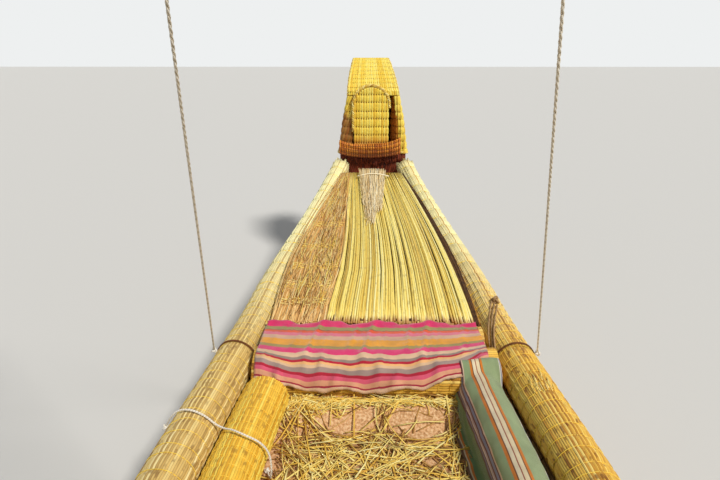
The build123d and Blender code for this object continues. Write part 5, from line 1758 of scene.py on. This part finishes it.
def settle(cloth, base_rings, pinned, frames, floor_at=None):
    """Drops a sheet onto a plain copy of what it lies on, and keeps its new shape. floor_at is the deck."""
    points, faces = skin(base_rings)[:2]
    points = points.tolist()
    if floor_at:
        y = np.linspace(-1.2, 2.2, 30)
        count = len(points)
        points += [(x, here, floor_at(here) + 0.018) for x in (-0.2, 1.1) for here in y.tolist()]
        faces += [[count + i, count + 30 + i, count + 31 + i, count + 1 + i] for i in range(29)]
    base = mesh_object("drape_base", points, faces)
    bpy.context.view_layer.objects.active = base
    base.modifiers.new("hard", "COLLISION")
    base.collision.thickness_outer = 0.006
    base.collision.cloth_friction = 30
    cloth.vertex_groups.new(name="held").add(pinned, 1.0, "REPLACE")
    drape = cloth.modifiers.new("drape", "CLOTH")
    drape.settings.quality = 6
    drape.settings.mass = 0.25
    drape.settings.bending_stiffness = 0.6
    drape.settings.tension_stiffness = drape.settings.compression_stiffness = 25
    drape.settings.vertex_group_mass = "held"
    drape.collision_settings.distance_min = 0.005
    drape.point_cache.frame_end = frames
    for number in range(1, frames + 1):
        scene.frame_set(number)
    bpy.context.view_layer.update()
    shape = cloth.evaluated_get(bpy.context.evaluated_depsgraph_get())
    settled = np.array([corner.co for corner in shape.data.vertices], np.float32)
    cloth.modifiers.clear()
    cloth.vertex_groups.clear()
    cloth.data.vertices.foreach_set("co", settled.ravel())
    cloth.data.update()
    scene.frame_set(1)
    bpy.data.objects.remove(base)


def finish_sheet(cloth, wool, stands_for):
    """Gives a sheet its wool and its thickness, and its place in the part."""
    cloth.data.materials.append(wool)
    thick = cloth.modifiers.new("thick", "SOLIDIFY")
    thick.thickness = 0.004
    thick.offset = 1
    bpy.context.view_layer.objects.active = cloth
    bpy.ops.object.modifier_apply(modifier=thick.name)
    attach(cloth, stands_for)


# %% [markdown]
# The seat's blanket lies across both seat rolls from under the mats and hangs down in front. Its edge is
# uneven, as the photograph shows, and its starboard corner is pulled forward over the bench.

# %% Seat blanket
SEAT_FLAT = (1.78, 0.78)
SEAT_STRIPES = ("e8286c 100 a8985a 50 7c2430 6 ee5a24 36 f07a92 50 e8b898 60 fcac20 95 b09a54 42 ee3a7a 62 "
                "ecc6a2 38 a08a80 21 c21a38 18 fac080 18 e8c29c 19 ac948c 34 bd1f3c 22 e8607f 30 f2b08c 36 "
                "b52342 14 f7cfae 50")
# Gives bright bands across the boat, matt and soft at the folds
seat_wool = blanket_finish("striped_wool_pink", SEAT_STRIPES, SEAT_FLAT[1])
(front_y, front_r), (back_y, back_r) = SEAT_ROLLS
front_z = deck_top(front_y + front_r) + front_r + 0.002
back_z = deck_top(back_y + back_r) + back_r + 0.002


def seat_line(grow):
    """The seat's outline in y and z, from the mats' edge over both rolls and down the front."""
    r, back = front_r + grow, back_r + grow
    over = [(back_y + back * math.sin(t), back_z + back * math.cos(t)) for t in np.linspace(0.42, 0, 6)]
    front = [(front_y - r * math.sin(t), front_z + r * math.cos(t)) for t in np.linspace(0, np.pi / 2, 24)]
    drop = [(front_y - r, z) for z in np.linspace(front_z - 0.02, 0.515, 9)]
    return np.array(over + front + drop)


under = np.concatenate([seat_line(0.0), [(2.7, 0.5)]])
base = np.array([stack(x, under[:, 0], under[:, 1]) for x in (-1.0, 0.0, 1.0)])
line = seat_line(0.016)
metres = run_length(line)
COLUMNS, ROWS = 46, 96
share = np.linspace(0, 1, ROWS)[:, None]
length = np.interp(share, (0, 0.12, 0.35, 0.6, 0.72, 0.88, 1), (0.67, 0.74, 0.775, 0.77, 0.74, 0.66, 0.54))
s = length * np.linspace(0, 1, COLUMNS)
ripple = 0.02 * np.sin(share * 26 + 3 * np.sin(s * 5)) + 0.007 * np.sin(share * 75 + s * 9)
grid = stack(-0.875 + share * 1.69, *(np.interp(s, metres, column) for column in line.T))
grid[..., 2] += 0.012 + ripple
grid[..., 1] -= np.clip((s - 0.5) / 0.2, 0, 1) * (0.012 + ripple)
seat_blanket = sheet_mesh("seat_blanket", grid, SEAT_FLAT)
# Its first two columns are held under the mats
held = [row * COLUMNS + column for row in range(ROWS) for column in (0, 1)]
settle(seat_blanket, base[:, ::-1], held, 36)
finish_sheet(seat_blanket, seat_wool, "seat_cloth")

# %% [markdown]
# The starboard bench's blanket is sage green with two groups of stripes along the boat. It covers the bench
# from its outboard side over the top and down to the floor, where its edge lies on the straw, and its front
# end rides up on the end of the seat roll.

# %% Bench blanket
BENCH_FLAT = (3.235, 0.745)
# The wide band 6b8a58 is a darker green, painted shade where the cloth hangs inboard
BENCH_STRIPES = ("e0822c 10 f1e9dc 13 8d93a6 22 f1e9dc 13 9cae80 177 dc7f22 17 6b3a18 6 efdcb4 28 9a4020 7 "
                 "f4e4c2 27 6b3a18 7 dc7f22 20 93a87c 72 ecd0b4 12 6b3038 9 8f93b4 20 74403a 14 c8b3bc 14 "
                 "f1e6dc 9 6b3038 12 8a82a0 14 5d3a2c 10 6b8a58 165 dc7f22 18 e6d2ae 12 6b4a2c 10")
# Gives sage green with crisp lines of orange, cream and brown along the boat, and a darker green band,
# painted shade, on the side that hangs down to the straw
bench_wool = blanket_finish("striped_wool_green", BENCH_STRIPES, BENCH_FLAT[1])
COLUMNS, ROWS = 44, 120
y = np.linspace(-1.0, 2.235, ROWS)[:, None]
s = np.linspace(0, 1, COLUMNS) * (0.735 + 0.012 * np.sin(y * 2.3))
radius = BENCH_R + 0.008
angle = math.radians(8) + s / radius
# Past half a turn the cloth hangs down, and past the bench's height it lies out on the straw
drop = np.maximum(angle - np.pi, 0) * radius
fall = np.minimum(drop, BENCH_R - 0.036)
angle = np.minimum(angle, np.pi)
crease = 0.011 * np.sin(y * 9 + s * 13) * np.exp(-((s - 0.42) / 0.1) ** 2) + 0.006 * np.sin(y * 21 - s * 17)
radial = radius + 0.005 + np.abs(crease)
middle_x, _, middle_z = np.moveaxis(bench_path(1, y), -1, 0)
x = middle_x + radial * np.cos(angle) - (drop - fall) - 0.02 * (drop > 0)
grid = stack(x, y + 0.01 * np.sin(s * 12), middle_z + radial * np.sin(angle) - fall)
seat_top = front_z + np.sqrt(np.maximum((front_r + 0.022) ** 2 - (grid[..., 1] - front_y) ** 2, 0))
over_seat = (grid[..., 1] > front_y - front_r - 0.02) & (angle < 2.6)
grid[..., 2] = np.where(over_seat, np.maximum(grid[..., 2], seat_top), grid[..., 2])
bench_blanket = sheet_mesh("bench_blanket", slimmed(grid), BENCH_FLAT)
# Its outboard edge is held, and so is its front end on the seat roll
held = [row * COLUMNS + column for row in range(ROWS) for column in (0, 1)]
held += [(ROWS - 1 - end) * COLUMNS + column for end in range(8) for column in range(COLUMNS)]
base = circles(bench_path(1, np.linspace(-1.04, 2.12, 40)), BENCH_R, 40)
settle(bench_blanket, slimmed(base), held, 30, floor_at=deck_top)
finish_sheet(bench_blanket, bench_wool, "bench_cloth")

# %% Finish
[[[float(v) for v in corner] for corner in box] for box in (cad_box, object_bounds())]
